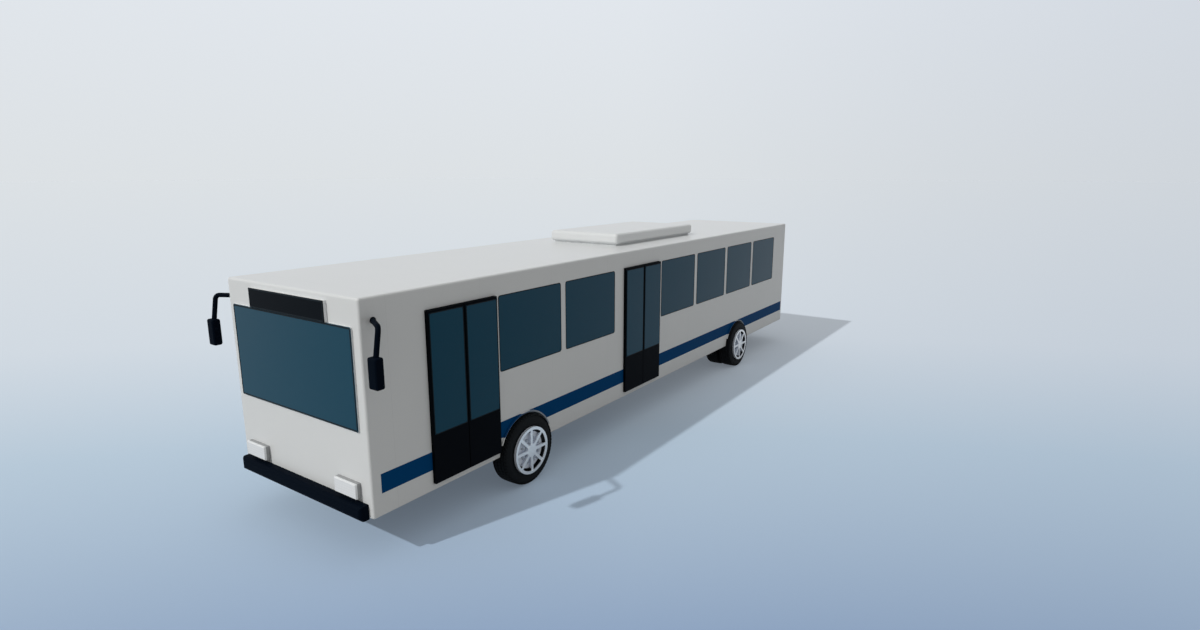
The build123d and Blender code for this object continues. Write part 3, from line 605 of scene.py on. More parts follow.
def tinted_glass(name, tint, rim=""):
    """Privacy glass: a deep tint that lets a little through, with faint smears in its gloss.

    A pane that stands out of the wall has enamelled edges behind its face."""
    made = Finish(name, tint, 0.05, Transmission_Weight=0.08, IOR=1.5, Specular_IOR_Level=0.12)
    dull = made.use(rust_and_grime, amount=1.0) * 0.10 + 0.035
    if rim:
        edge = behind(made.tree, rim, depth=0.004, margin=0.008)
        dull = edge * 0.3 + dull
        made.paint(edge, settings("paint").body)
    made.set(Roughness=dull)
    return made


def blank_sign():
    """Cover of the blank destination sign: smoked glass with a faint matrix of unlit dots behind it."""
    made = Finish("sign_cover", (0.006, 0.009, 0.012), 0.16, Specular_IOR_Level=0.02)
    dots = made.use(lens_ribs, pitch=0.018).ramp(0.2, 1.0)
    made.shade = dots.mix((0.009, 0.011, 0.014), (0.004, 0.006, 0.009))
    case = behind(made.tree, "destination_sign", depth=0.006)
    made.paint(case, settings("paint").body)
    made.set(Roughness=case.ramp(0, 1, 0.16, 0.32))
    return made


def clear_lens():
    """Clear lens over a bright reflector, with moulded ribs across and up; the lamp's sides behind their front
    26 mm are grey as painted shadow.
    """
    made = Finish("clear_lens", (0.9, 0.92, 0.94), 0.10, Coat_Weight=0.25, Coat_Roughness=0.03)
    ribs = made.use(lens_ribs, pitch=0.030)
    made.raise_by(ribs, 0.2)
    made.shade = ribs.mix((0.97, 0.98, 1.0), (0.86, 0.88, 0.90))
    # Painted shadow: the sides deeper than 26 mm behind the lens face are grey and rougher, for the shadow
    # seen round the lamp.
    housing = behind(made.tree, "headlamps", depth=0.026)
    made.paint(housing, (0.33, 0.335, 0.34))
    made.set(Roughness=housing.ramp(0, 1, 0.10, 0.5))
    return made


def rear_lens():
    """Lenses of a rear lamp, one over another: amber at the top, red for tail and stop, and clear below."""
    made = Finish("rear_lens", (0.4, 0.01, 0.01), 0.12, Coat_Weight=1.0, Coat_Roughness=0.04)
    low, high = box("tail_lamps")
    stops = ((0.0, (0.62, 0.64, 0.66)), (0.22, (0.42, 0.008, 0.010)), (0.48, (0.03, 0.002, 0.002)),
             (0.49, (0.50, 0.012, 0.012)), (0.72, (0.70, 0.20, 0.010)))
    level = coordinates(made.tree)[2].ramp(low[2], high[2])
    made.set(Base_Color=level.banded(stops, interpolation="CONSTANT"))
    made.raise_by(made.use(lens_ribs, pitch=0.012), 0.4, 0.0015)
    return made


def tyre_rubber():
    """Carcass rubber, greyed in patches by the road."""
    rubber = settings("wheels").rubber
    made = Finish("tyre_rubber", rubber, 0.72, Specular_IOR_Level=0.12)
    made.shade = made.use(tone_drift, colour=rubber, spread=0.35, scale=9.0)
    scuffed = made.use(rust_and_grime, amount=0.35)
    made.paint(scuffed, (0.040, 0.039, 0.037))
    made.set(Roughness=scuffed.ramp(0, 0.35, 0.68, 0.9))
    made.raise_by(made.use(fine_grain, grains=700.0), 0.25)
    return made


def round_axles(place):
    """How far behind the nearer axle a place is, and its distance from that axle's line."""
    front, rear = (sum(box(f"rim_{axle}_left")) / 2 for axle in AXLES)
    y, up = place[1] - (front[1] + rear[1]) / 2, place[2] - front[2]
    back = y - y.math("SIGN") * ((rear[1] - front[1]) / 2)
    return back, (back * back + up * up).math("SQRT")


def arch_paint():
    """The body's colours over an arch lip, the stripe carried across it, and grey inside and behind the axle.

    The grey on the inner face and at the rear quarter is painted shade: it stands in for the shaded inside of
    the wheel housing, seen past the tyre."""
    paint = settings("paint")
    made = coated("arch_paint", paint.body, 0.5, dust=0.02, grains=350, Specular_IOR_Level=0.1)
    place = coordinates(made.tree)
    back, radius = round_axles(place)
    low, high = box("side_stripes")
    made.paint((place[2] > low[2]) * (place[2] < high[2]), paint.stripe)
    outer_r, lip_width = box("arch_lips")[1][2] - sum(box("rim_front_left"))[2] / 2, 0.018
    # Painted shade: the arch grey on the lips' inner face and behind the axle stands for the shaded inside of
    # the wheel housing.
    made.paint((radius < outer_r - lip_width) | back.ramp(-0.05, 0.2), paint.arch)
    return made


def wheel_enamel():
    """Silver enamel on the face of a wheel, grey on the disc behind it, and black on the barrel round that.

    All but the silver is deeper than the face, and the black, painted shade for the dark gap round the disc,
    lies between two radii round the nearer axle."""
    wheels, face_depth, barrel_low, barrel_high = settings("wheels"), 0.010, 0.256, 0.312
    made = coated("wheel_enamel", wheels.enamel, 0.30, spread=0.04, dust=0.03, top=0.9, grains=320,
                  bump=0.02, Metallic=0.7)
    place = coordinates(made.tree)
    inside = abs(place[0]) < box("rim_front_left")[1][0] - face_depth
    radius = round_axles(place)[1]
    made.paint(inside, wheels.disc)
    # Painted shade: the barrel round the disc is painted tyre black so the gap behind the spokes looks dark.
    made.paint(inside * ((radius > barrel_low) * (radius < barrel_high)), wheels.rubber)
    made.set(Metallic=inside.ramp(0, 1, 0.7, 0.1))
    return made


def safety_floor():
    """Safety flooring: a grey sheet with pale and dark chips and a fine grit."""
    ground = settings("cab").floor
    made = Finish("safety_floor", ground, 0.55)
    made.shade = made.use(tone_drift, colour=ground, spread=0.1)
    made.paint(made.use(flecks, scale=150.0, share=0.25), (0.24, 0.26, 0.28))
    made.paint(made.use(flecks, scale=210.0, share=0.2), (0.015, 0.017, 0.020))
    made.raise_by(made.use(fine_grain, grains=900.0), 0.3)
    return made


def seat_cloth(name, ground, fleck, threads, share):
    """Woven cover: threads with a second colour in the warp and scattered flecks of it."""
    made = Finish(name, ground, 0.85, Sheen_Weight=0.35, Sheen_Roughness=0.5)
    made.shade = made.use(tone_drift, colour=ground, spread=0.12, scale=6.0)
    made.paint(made.use(weave, "Warp", threads=threads) * 0.25, fleck)
    made.paint(made.use(flecks, scale=95.0, share=share) * 0.8, fleck)
    made.raise_by(made.use(weave, threads=threads), 0.5, 0.0006)
    return made


def make_finishes():
    """Every finish by its slot, by a node that has its own, or by what a small piece is made of."""
    paint, glass, wheels, seats, cab = (settings(k) for k in ("paint", "glass", "wheels", "seats", "cab"))
    return {
        "white_paint": body_paint(),
        "blue_stripe": coated(
            "stripe_film", paint.stripe, 0.35, dust=0.002, top=0.9, grains=90, bump=0.01,
            Specular_IOR_Level=0.012),
        "dark_glass": tinted_glass("tinted_glass", glass.tint),
        "windscreen": tinted_glass("screen_glass", glass.screen, "windscreen"),
        "arch_lips": arch_paint(),
        "black_paint": coated(
            "door_enamel", paint.door, 0.48, spread=0.1, grains=300, bump=0.02, Specular_IOR_Level=0.02),
        "black_plastic": coated(
            "moulded_trim", paint.trim, 0.55, spread=0.08, grains=420, bump=0.14, Specular_IOR_Level=0.015),
        "sign_black": blank_sign(),
        "lamp_clear": clear_lens(),
        "lamp_red": rear_lens(),
        "grey_plastic": coated("liner_plastic", paint.liner, 0.55, dust=0.08, grains=350, bump=0.1),
        "tyre_rubber": tyre_rubber(),
        "wheel_silver": wheel_enamel(),
        "chassis_steel": coated(
            "chassis_enamel", paint.chassis, 0.5, dust=0.5, top=0.9, grains=180, bump=0.1, rust=0.5),
        "axle_iron": coated(
            "cast_iron", paint.casting, 0.6, spread=0.15, dust=0.4, grains=140, bump=0.35, rust=0.7,
            Metallic=0.4),
        "spring_rubber": coated(
            "spring_rubber", wheels.rubber, 0.66, spread=0.3, dust=0.25, top=1.1, bump=0.2),
        "floor_vinyl": safety_floor(),
        "seat_blue": seat_cloth("seat_cloth", seats.cloth, seats.fleck, 420.0, 0.16),
        "driver_fabric": seat_cloth("driver_cloth", seats.driver, (0.10, 0.11, 0.13), 520.0, 0.04),
        "pole_yellow": coated("pole_coat", cab.pole, 0.35, spread=0.05, bump=0.05),
        "mirror_glass": coated(
            "mirror_glass", (0.62, 0.66, 0.70), 0.06, spread=0.02, dust=0.08, top=3.0, grains=30, bump=0.004,
            Metallic=1.0),
        "engine_grey": coated(
            "engine_paint", paint.casting, 0.45, spread=0.1, dust=0.3, grains=160, bump=0.2, rust=0.35,
            Metallic=0.2),
        "shell": coated("seat_shell", seats.shell, 0.42, grains=380, bump=0.1),
        "steel": coated(
            "plated_steel", (0.42, 0.43, 0.45), 0.30, spread=0.06, dust=0.15, top=0.9, grains=260, bump=0.05,
            rust=0.12, Metallic=0.9),
        "zinc": coated(
            "zinc_plate", (0.50, 0.55, 0.62), 0.5, spread=0.05, dust=0.05, top=0.9, grains=260, bump=0.05,
            Metallic=0.2),
        "seal": coated(
            "seal_rubber", (0.008, 0.014, 0.018), 0.6, spread=0.2, grains=600, bump=0.15,
            Specular_IOR_Level=0.1),
        "dial": coated(
            "dial_face", (0.02, 0.02, 0.024), 0.25, spread=0.1, grains=200, bump=0.02, Coat_Weight=0.5),
    }


# ---- operators
class CITYBUS_OT_finishes(Operator):
    """Build the finishes and their node groups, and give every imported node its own"""
    bl_idname = "city_bus.finishes"
    bl_label = "Finishes"

    def execute(self, context):
        finishes.update((key, made.material) for key, made in make_finishes().items())
        for part in frame["record"]["subparts"]:
            solid = frame["nodes"][part["node"]]
            if not solid.material_slots:
                solid.data.materials.append(None)
            for place in solid.material_slots:
                place.link = "OBJECT"
                place.material = finishes.get(part["node"]) or finishes[part["material_slot"]]
        return {"FINISHED"}


def tyre_shape(low, high):
    """A treaded tyre: its section turned about the axle, with slots and sipes cut by the angle.

    The section goes up one wall, across the crown and down the other. The crown falls by the square of
    the distance from its middle. Shoulder slots lower it for a quarter of each pitch, and a narrow sipe
    crosses each rib on a line that leans with the distance from the middle."""
    wheels = settings("wheels")
    half, outer = (high[0] - low[0]) / 2, (high[2] - low[2]) / 2
    wall_height, shoulder, wide, near = 0.179, 0.018, 0.079, 0.030
    slot_depth, sipe_depth, sipe_run = 0.009, 0.006, 0.016
    wall = np.arange(13)
    t = wall / 12
    wall_r = outer - wall_height + (wall_height - shoulder) * t
    bulge = half - 0.026 * (1 - np.sin(np.pi * np.clip(t * 0.86 + 0.06, 0, 1))) - 0.002
    bulge += 0.0018 * np.isin(wall, (4, 8, 9))
    edge, side = half - shoulder, wheels.groove_width / 2
    groove = np.array([side, side - 0.0005, 0.0005 - side, -side])
    crown = np.concatenate([[edge + 0.010, edge, 0.100, 0.092], wide + groove, [0.066, 0.050, 0.042],
                            near + groove, [0.020, 0.020 / 3]])
    deep = np.minimum(np.abs(crown - wide), np.abs(crown - near)) < side - 0.0002
    crown_r = outer - 0.004 * (crown / edge) ** 2 - wheels.groove_depth * deep
    crown_r[0] = outer - 0.011
    none = np.zeros(len(wall), bool)
    x, r = np.concatenate([bulge, crown]), np.concatenate([wall_r, crown_r])
    shoulders, ribs = np.concatenate([none, crown > 0.088]), np.concatenate([none, (crown < 0.072) & ~deep])
    x = np.concatenate([x, -x[::-1]])
    r, shoulders, ribs = (np.concatenate([value, value[::-1]]) for value in (r, shoulders, ribs))
    steps = wheels.pitches * 8
    index = np.arange(steps)[:, None]
    slot = np.isin(index % 8, (2, 3)) & shoulders
    sipe = (np.round(index + x / sipe_run).astype(int) % 8 == 5) & ribs
    return swept(x, r - slot_depth * slot - sipe_depth * sipe, steps, (low + high) / 2)


class CITYBUS_OT_tyres(Operator):
    """Treaded tyres with grooves, sipes and walls, in place of the plain ones"""
    bl_idname = "city_bus.tyres"
    bl_label = "Tyres"

    def execute(self, context):
        for side in SIDES:
            for axle, part in zip(AXLES, ("tyre_front_", "tyres_rear_")):
                shape = joined([tyre_shape(*corners) for corners in solids_of(part + side)])
                wheel = f"wheel_{axle}_{side}"
                add_piece("treads_" + wheel, shape, "tyre_rubber", None, wheel, [part + side], sharp=28)
        return {"FINISHED"}


class CITYBUS_OT_wheel_nuts(Operator):
    """Hexagon nuts on washers and studs, the hub cap's ring and the valve of each wheel"""
    bl_idname = "city_bus.wheel_nuts"
    bl_label = "Wheel nuts"

    def execute(self, context):
        wheels = settings("wheels")
        corner, disc_depth, valve_r = wheels.nut_size / math.sqrt(3), 0.045, 0.228
        nut = turned([(0.003, corner), (0.020, corner), (0.023, corner * 0.82)], 6)
        washer = turned([(0, 0.021), (0.003, 0.020)], 24)
        stud = turned([(0.02, 0.011), (0.031, 0.011), (0.033, 0.009)], 14)
        angle = (np.arange(8) + 0.5) * math.pi / 4
        circle = wheels.nut_circle * np.stack([0 * angle, np.cos(angle), np.sin(angle)], 1)
        fixings = copied(joined([nut, washer, stud]), circle)
        collar = turned([(0, 0.094), (0.006, 0.094), (0.006, 0.110), (0, 0.112)], 64, capped=False)
        valve = turned([(0, 0.006), (0.030, 0.006), (0.032, 0.004)], 12, (0, valve_r, 0))
        points, faces = joined([fixings, collar, valve])
        for side, out in SIDES.items():
            for axle in AXLES:
                low, high = box(f"rim_{axle}_{side}")
                face = (high if out > 0 else low)[0] - out * disc_depth
                placed = points * (out, 1, 1) + (face, *(low + high)[1:] / 2)
                add_piece(f"nuts_{axle}_{side}", (placed, faces), "zinc", "", f"wheel_{axle}_{side}", sharp=25)
        return {"FINISHED"}


class CITYBUS_OT_seals(Operator):
    """Rubber beads round the side windows, rear window, windscreen, sign and door glass"""
    bl_idname = "city_bus.seals"
    bl_label = "Seals"

    def execute(self, context):
        glass = settings("glass")
        pane_r, door_r, sign_r, screen_r, screen_inset = 0.035, 0.03, 0.012, 0.02, 0.006
        beads = []
        for low, high in solids_of("windows"):
            axis = int(np.argmin(high - low))
            out = 1 if (low + high)[axis] > 0 else -1
            face = (high if out > 0 else low)[axis]
            beads.append(bead(low, high, axis, face, out, pane_r, glass.seal_width, glass.seal_height))
        add_piece("window_seals", joined(beads), "seal", "spring_rubber", sharp=60)
        beads = []
        for part, radius, width, height in (
                ("windscreen", screen_r, glass.screen_seal, glass.seal_height),
                ("destination_sign", sign_r, glass.seal_width, 0.003)):
            low, high = box(part)
            inset = np.array([1, 0, 1]) * (width / 2 + screen_inset)
            beads.append(bead(low + inset, high - inset, 1, low[1], -1, radius, width, height))
        add_piece("front_seals", joined(beads), "seal", "spring_rubber", sharp=60)
        for door, leaf in (("front", 1), ("front", 2), ("mid", 1), ("mid", 2)):
            low, high = box(f"{door}_door_glass_{leaf}")
            beads = [bead(low, high, 0, x, out, door_r, width=0.010, height=0.003)
                     for x, out in ((high[0], 1), (low[0], -1))]
            add_piece(f"{door}_glass_bead_{leaf}", joined(beads), "seal", "spring_rubber",
                      f"{door}_door_{leaf}", sharp=60)
        return {"FINISHED"}


def shell_shape(width, seat, back):
    """A moulded seat shell and its two glued cloths, round x = 0, as (shell, cloths).

    A line runs from the front lip along the pan, round the bend and up the back. The shell's skin is that
    line carried across the width, lifted off it by the fourth power of the distance from the middle, and
    drawn in at the top corners. The cloths lie a little above it over the pan and the back."""
    seats = settings("seats")
    front, pan, bend, (rear, top) = seat[0][1], seat[1][2] - seats.flank, back[0][1], back[1][1:]
    line = rounded_path([(front + 0.012, pan - 0.034), (front + 0.018, pan + 0.004),
                         (bend - 0.09, pan - 0.008), (bend + 0.010, pan + 0.060),
                         (rear - 0.026, top - 0.12), (rear - 0.014, top - 0.004)],
                        [0.015, 0.10, 0.06, 0.4], 9)
    step = np.concatenate([[0], np.cumsum(np.linalg.norm(np.diff(line, axis=0), axis=1))])
    keep = np.concatenate([[True], np.diff(step) > 1e-6])
    line, step = line[keep], step[keep]
    at = np.linspace(0, step[-1], 48)
    path = np.stack([np.interp(at, step, line[:, k]) for k in range(2)], 1)
    run = np.gradient(path, axis=0)
    run /= np.linalg.norm(run, axis=1)[:, None]
    normal = np.stack([-run[:, 1], run[:, 0]], 1)
    u = np.linspace(-1, 1, 25)
    shrink = 1 - 0.12 * np.clip(1 - (at[-1] - at) / 0.09, 0, 1) ** 2.2

    def skin(lift, across, rows):
        x = width / 2 * across * shrink[rows, None]
        rise = lift + seats.flank * np.abs(across) ** 4 * np.ones((len(rows), 1))
        yz = path[rows, None] + normal[rows, None] * rise[..., None]
        return np.concatenate([x[..., None], yz], -1)

    shell = thick(*(skin(lift, u, np.arange(48)) for lift in (0.0, -seats.wall)))
    cloths = []
    for first, last in ((3, 22), (26, 46)):
        rows, across = np.arange(first, last), u[2:-2]
        along = np.linspace(-1, 1, len(rows))[:, None]
        edge = np.clip(1 - np.maximum(np.abs(along) ** 8, np.abs(across / across[-1]) ** 8), 0, 1)
        pad = skin(0.001, across, rows)
        pad[..., 1:] += normal[rows, None] * (0.007 * edge ** 0.5)[..., None]
        cloths.append(thick(pad, skin(-0.002, across, rows)))
    return shell, joined(cloths)


class CITYBUS_OT_passenger_seats(Operator):
    """Moulded shells with glued cloths on tube frames, in place of the plain cushions and backs"""
    bl_idname = "city_bus.passenger_seats"
    bl_label = "Passenger seats"

    def execute(self, context):
        r, place_width, gap = settings("seats").frame_r, 0.46, 0.012
        shells, cloths, tubes = [], [], []
        for seat, back in zip(solids_of("seat_cushions"), solids_of("seat_backs")):
            low, high = seat
            places = max(2, round((high[0] - low[0]) / place_width))
            width = (high[0] - low[0]) / places
            moves = np.outer(low[0] + width * (np.arange(places) + 0.5), (1, 0, 0))
            for kind, shape in zip((shells, cloths), shell_shape(width - gap, seat, back)):
                kind.append(copied(shape, moves))
            tube = turned([(low[0] + 0.01, r), (high[0] - 0.01, r)], 12)
            at = [(0, low[1] + share * (high[1] - low[1]), low[2] + r + 0.001) for share in (0.34, 0.62)]
            tubes.append(copied(tube, at))
        add_piece("seat_shells", joined(shells), "shell", "seat_blue", BUS, ["seat_cushions", "seat_backs"])
        add_piece("seat_cloths", joined(cloths), "seat_blue", sharp=60)
        add_piece("seat_tubes", joined(tubes), "steel", "chassis_steel")
        return {"FINISHED"}


def inflated(name, low, high, reach):
    """A padded block: a pillow remeshed fine, blown up by cloth pressure, and no point moved past reach."""
    inset, power = 0.012, 7.0
    pad = add_piece(name, pillow(low + inset, high - inset, power, 26, 48), "driver_fabric", sharp=80)

    def applied():
        """The pad's mesh as its modifiers leave it, and the pad without them."""
        graph = bpy.context.evaluated_depsgraph_get()
        found = bpy.data.meshes.new_from_object(pad.evaluated_get(graph))
        pad.modifiers.clear()
        return found

    put(pad.modifiers.new("Remesh", "REMESH"), mode="VOXEL", voxel_size=0.0065)
    mesh = pad.data = applied()
    start = triples(mesh.vertices, "co")
    cloth = pad.modifiers.new("Cloth", "CLOTH")
    put(cloth.settings, use_pressure=True, uniform_pressure_force=4.0, quality=4)
    cloth.settings.effector_weights.gravity = 0.0
    put(cloth.point_cache, frame_start=1, frame_end=20)
    for step in range(1, 21):
        bpy.context.scene.frame_set(step)
    move = triples(applied().vertices, "co") - start
    bpy.context.scene.frame_set(1)
    far = np.linalg.norm(move, axis=1)[:, None]
    blown = start + move * np.minimum(1, reach / np.maximum(far, 1e-9))
    mesh.vertices.foreach_set("co", np.clip(blown, low, high).ravel())
    mesh.polygons.foreach_set("use_smooth", [True] * len(mesh.polygons))
    put(pad.modifiers.new("Subdivision", "SUBSURF"), levels=1, render_levels=1)
    return pad


class CITYBUS_OT_driver_seat(Operator):
    """The driver's seat: a cushion and a back blown up as cloth, with piping round them"""
    bl_idname = "city_bus.driver_seat"
    bl_label = "Driver's seat"

    def execute(self, context):
        cords = []
        for name, axis, (low, high) in zip(("driver_cushion", "driver_back"), (2, 1),
                                           solids_of("driver_seat_pads")):
            pad = inflated(name, low, high, reach=0.016)
            if name == "driver_cushion":
                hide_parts("driver_seat_pads")
            for share, out in ((0.2, -1), (0.8, 1)):
                seam = low[axis] + share * (high[axis] - low[axis])
                cords.append(bead(low + 0.006, high - 0.006, axis, seam, out, radius=0.05, width=0.010,
                                  height=0.005))
        add_piece("driver_seat_piping", joined(cords), "seal", "driver_fabric", sharp=60)
        return {"FINISHED"}


class CITYBUS_OT_bellows(Operator):
    """Rolled air springs with their bead plates, in place of the plain ones"""
    bl_idname = "city_bus.bellows"
    bl_label = "Bellows"

    def execute(self, context):
        t, plate, inset = np.linspace(0, 1, 49), 0.014, 0.012
        springs = []
        for low, high in solids_of("air_springs"):
            radius = (high[0] - low[0]) / 2
            wave = radius * (0.80 + 0.20 * np.abs(np.sin(np.pi * 2 * t)) ** 0.7) - 0.001
            z = low[2] + inset + (high[2] - low[2] - 2 * inset) * t
            centre, plate_r = (*(low + high)[:2] / 2, 0), radius * 0.86
            springs.append(turned(list(zip(z, wave)), 64, centre, 2))
            for start, end in ((low[2], low[2] + plate), (high[2] - plate, high[2])):
                springs.append(turned([(start, plate_r), (end, plate_r)], 48, centre, 2))
        add_piece("bellows", joined(springs), "spring_rubber", stands_for=["air_springs"])
        return {"FINISHED"}


class CITYBUS_OT_cab(Operator):
    """The driver's binnacle with its hood, dials and rows of rocker switches"""
    bl_idname = "city_bus.cab"
    bl_label = "Cab"

    def execute(self, context):
        cab = settings("cab")
        low, high = box("dashboard")
        middle, top = sum(box("steering_wheel"))[0] / 2, high[2]
        half, near, far, drop, rise, power = 0.26, 0.10, 0.33, 0.02, 0.115, 5.0
        hood = pillow((middle - half, low[1] + near, top - drop), (middle + half, low[1] + far, top + rise),
                      power, 20, 40)
        add_piece("binnacle", hood, "black_plastic", sharp=60)
        r, dial_y = cab.dial_r, low[1] + 0.324
        dial = turned([(0, r), (0.006, r), (0.009, r * 0.93), (0.005, r * 0.9)], 40, axis=1)
        gauge = turned([(0, 0.020), (0.006, 0.020), (0.008, 0.018), (0.005, 0.017)], 28, axis=1)
        face = joined([copied(shape, [(middle + x, dial_y, top + z) for x, z in places])
                       for shape, places in ((dial, ((-0.115, 0.048), (0.115, 0.048))),
                                             (gauge, ((0, 0.075), (0, 0.025))))])
        add_piece("dials", face, "dial", "black_plastic", sharp=30)
        key, first_x, first_y, row_pitch = (0.026, 0.042, 0.010), middle + 0.30, high[1] - 0.06, 0.055
        row, x = np.meshgrid((0, 1), first_x + cab.key_pitch * np.arange(6), indexing="ij")
        lows = np.stack([x, first_y - row_pitch * row, np.full(x.shape, top - 0.002)], -1).reshape(-1, 3)
        keys = blocks(lows, lows + key)
        add_piece("rocker_switches", keys, "dial", "black_plastic", bevel=0.002)
        return {"FINISHED"}


class CITYBUS_OT_fittings(Operator):
    """Pole flanges, the roof unit's screws and the turn latches of the engine lid"""
    bl_idname = "city_bus.fittings"
    bl_label = "Fittings"

    def execute(self, context):
        flanges = []
        for low, high in solids_of("grab_poles"):
            for end, way in ((low[2], 1), (high[2], -1)):
                profile = [(0, 0.046), (0.004 * way, 0.045), (0.010 * way, 0.026), (0.028 * way, 0.024)]
                flanges.append(turned(profile, 28, (*(low + high)[:2] / 2, end), 2))
        add_piece("pole_flanges", joined(flanges), "pole_yellow")
        low, high = box("roof_unit")
        head = turned([(-0.002, 0.012), (0.002, 0.011), (0.005, 0.006), (0.006, 0)], 14, axis=2)
        side_inset, end_inset, sunk = 0.10, 0.12, 0.006
        x = np.linspace(low[0] + side_inset, high[0] - side_inset, 5)
        y = np.linspace(low[1] + end_inset, high[1] - end_inset, 9)
        places = [(a, b, high[2] - sunk) for a in x for b in y if a in x[[0, -1]] or b in y[[0, -1]]]
        add_piece("roof_unit_screws", copied(head, places), "steel", "white_paint")
        low, high = box("engine_lid")
        latch = turned([(-0.002, 0.026), (0.003, 0.026), (0.006, 0.022)], 32, axis=1)
        key = blocks([-0.016, 0.005, -0.003], [0.016, 0.009, 0.003])
        sunk, rise, inset = 0.0095, 0.06, 0.12
        at = [(x, high[1] - sunk, low[2] + rise) for x in (low[0] + inset, 0.0, high[0] - inset)]
        add_piece("lid_latches", copied(joined([latch, key]), at), "steel", "chassis_steel", "engine_lid")
        return {"FINISHED"}


def seen_rays(tree):
    """One for camera, glossy and transmission rays."""
    camera, glossy, through = (node(tree, "LightPath", output=f"Is {kind} Ray")
                               for kind in ("Camera", "Glossy", "Transmission"))
    return camera | glossy | through


def dimmed(shade, x, y):
    """A backdrop colour that falls off a little towards one side of the studio."""
    loss, east, north = (0.875, 0.888, 0.912), 0.823, 0.568
    weaker = node(x.tree, "Mix", {0: 1.0, 6: shade, 7: loss}, 2, data_type="RGBA", blend_type="MULTIPLY")
    return (x * east + y * north).ramp(0.05, 0.65).mix(shade, weaker)


def studio_world():
    """Backdrop for the camera, mirrors and glass, by the direction's height; plain fill for the rest."""
    stage = settings("stage")
    world = bpy.data.worlds.new("studio_world")
    bpy.context.scene.world = world
    world.use_nodes = True
    tree = world.node_tree
    tree.nodes.clear()
    x, y, z = coordinates(tree, "Generated")
    seen = node(tree, "Background", {"Color": dimmed(z.ramp(0.0, 0.25).mix(stage.far, stage.sky), x, y)})
    strength = z.ramp(0.0, 1.0, stage.fill, stage.fill + stage.overhead)
    fill = node(tree, "Background", {"Color": stage.fill_colour, "Strength": strength})
    both = node(tree, "MixShader", (seen_rays(tree), fill, seen))
    feed(tree, both, tree.nodes.new("ShaderNodeOutputWorld").inputs["Surface"])


def floor_finish():
    """The studio floor's colour by its distance ahead, with its far part lifted to the backdrop's level.

    The slope down to a point runs from none at the horizon to steep near the viewer. Each stop's own colour
    is what is to be seen there, less the lift, over the light that falls on the floor."""
    stage = settings("stage")
    made = Finish("studio_floor", stage.middle, 0.9, Specular_IOR_Level=0.0)
    place = coordinates(made.tree)
    east, north = (place[k] - stage.eye[k] for k in (0, 1))
    away = (east * east + (north * north + 1.0)).math("SQRT")
    facing = Vector(stage.aim).xy.normalized()
    ahead = abs(east * facing.x + north * facing.y)
    straight, nearest = 0.62, 4.0
    slope = stage.eye[2] / (ahead * straight + away * (1 - straight) | nearest)
    far, shade = np.array(stage.far), np.array(stage.shade)
    level = -Vector(stage.sun_course).normalized().z
    light = ((stage.fill + stage.overhead * 2 / 3) * np.array(stage.fill_colour)
             + level / math.pi * stage.sun_strength * np.array(stage.sun))
    stops = []
    for at, shown in ((0.0, far), (0.24, stage.beyond), (MIDDLE, stage.middle), (0.74, stage.near)):
        share = min(at / MIDDLE, 1)
        lift = (1 - share) * FLOOR_GLOW * far + share * shade
        stops.append((at, (np.array(shown) - lift) / light))
    east, north = east / away, north / away
    seen = seen_rays(made.tree)
    glow = slope.ramp(0.0, MIDDLE).mix(far, shade / FLOOR_GLOW)
    made.set(Base_Color=seen.mix(stage.bounce, dimmed(slope.banded(stops), east, north)),
             Emission_Color=dimmed(glow, east, north), Emission_Strength=seen * FLOOR_GLOW)
    return made


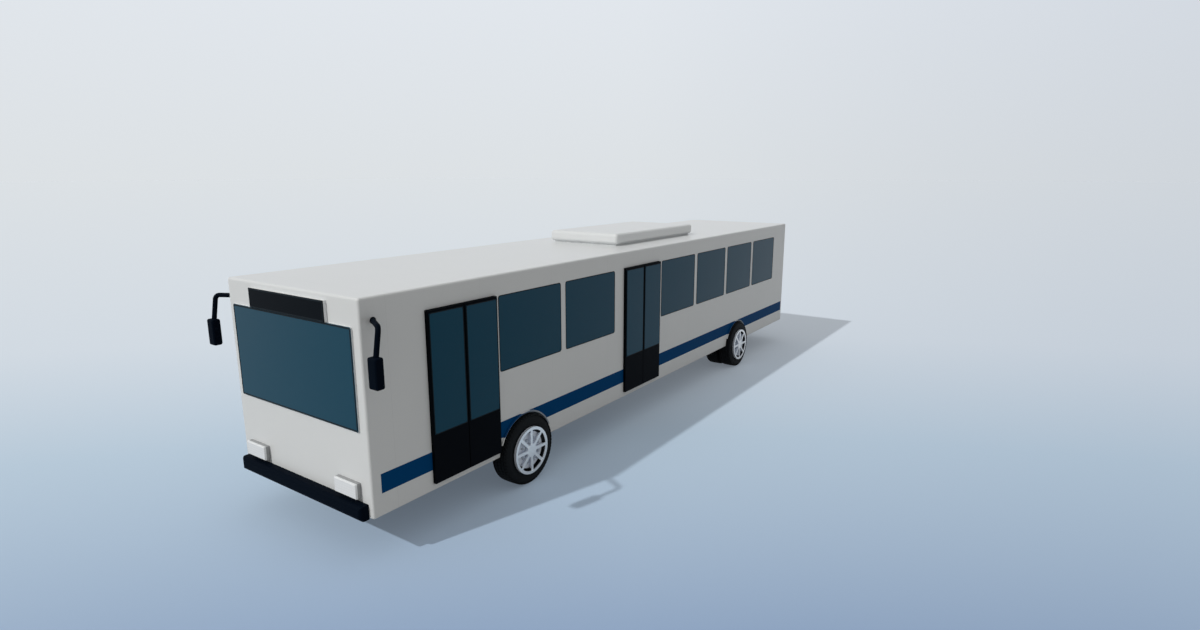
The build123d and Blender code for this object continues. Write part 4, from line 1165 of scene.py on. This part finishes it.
def studio_floor():
    """A level floor, its squares smallest near the middle."""
    reach, spread = 400, np.linspace(-1, 1, 25)
    x, y = np.meshgrid(spread ** 3 * reach, spread ** 3 * reach, indexing="ij")
    points = np.stack([x, y, 0 * x], -1).reshape(-1, 3)
    mesh = bpy.data.meshes.new("studio_floor")
    mesh.from_pydata(points.tolist(), [], grid(25, 25)[:, ::-1].tolist())
    floor = linked("studio_floor", mesh)
    mesh.materials.append(floor_finish().material)
    floor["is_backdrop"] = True


class CITYBUS_OT_stage(Operator):
    """Pale floor, backdrop, soft key light and camera"""
    bl_idname = "city_bus.stage"
    bl_label = "Stage"

    def execute(self, context):
        stage = settings("stage")
        scene = bpy.context.scene
        scene.view_settings.view_transform = "Standard"
        studio_floor()
        studio_world()
        lamp = put(bpy.data.lights.new("key_light", "SUN"), energy=stage.sun_strength, color=stage.sun,
                   angle=stage.sun_angle)
        view = put(bpy.data.cameras.new("camera"), lens=stage.lens, clip_end=2000)
        for data, place, way in ((lamp, (-4, -14, 12), stage.sun_course), (view, stage.eye, stage.aim)):
            turn = Vector(way).to_track_quat("-Z", "Y").to_euler()
            made = put(linked(data.name, data), location=place, rotation_euler=turn)
        scene.camera = made
        return {"FINISHED"}


OPERATORS = (CITYBUS_OT_finishes, CITYBUS_OT_tyres, CITYBUS_OT_wheel_nuts, CITYBUS_OT_seals,
             CITYBUS_OT_passenger_seats, CITYBUS_OT_driver_seat, CITYBUS_OT_bellows, CITYBUS_OT_cab,
             CITYBUS_OT_fittings, CITYBUS_OT_stage)


class CITYBUS_PT_panel(Panel):
    """The sizes, colours and steps of the city bus"""
    bl_idname = "CITYBUS_PT_panel"
    bl_label = "City Bus"
    bl_space_type = "VIEW_3D"
    bl_region_type = "UI"
    bl_category = "City Bus"

    def draw(self, context):
        for name, group in GROUPS:
            held = self.layout.box()
            held.label(text=name.capitalize())
            for size in group.__annotations__:
                held.prop(settings(name), size)
        for operator in OPERATORS:
            self.layout.operator(operator.bl_idname)


CLASSES = tuple(group for name, group in GROUPS) + OPERATORS + (CITYBUS_PT_panel,)


def register():
    for cls in CLASSES:
        bpy.utils.register_class(cls)
    for name, group in GROUPS:
        setattr(Scene, "city_bus_" + name, PointerProperty(type=group))


def unregister():
    for name, group in GROUPS:
        delattr(Scene, "city_bus_" + name)
    for cls in reversed(CLASSES):
        bpy.utils.unregister_class(cls)


def main():
    register()
    for operator in OPERATORS:
        family, step = operator.bl_idname.split(".")
        getattr(getattr(bpy.ops, family), step)()
    bpy.context.view_layer.update()
    now = [list(corner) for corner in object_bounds()]


if __name__ == "__main__":
    main()
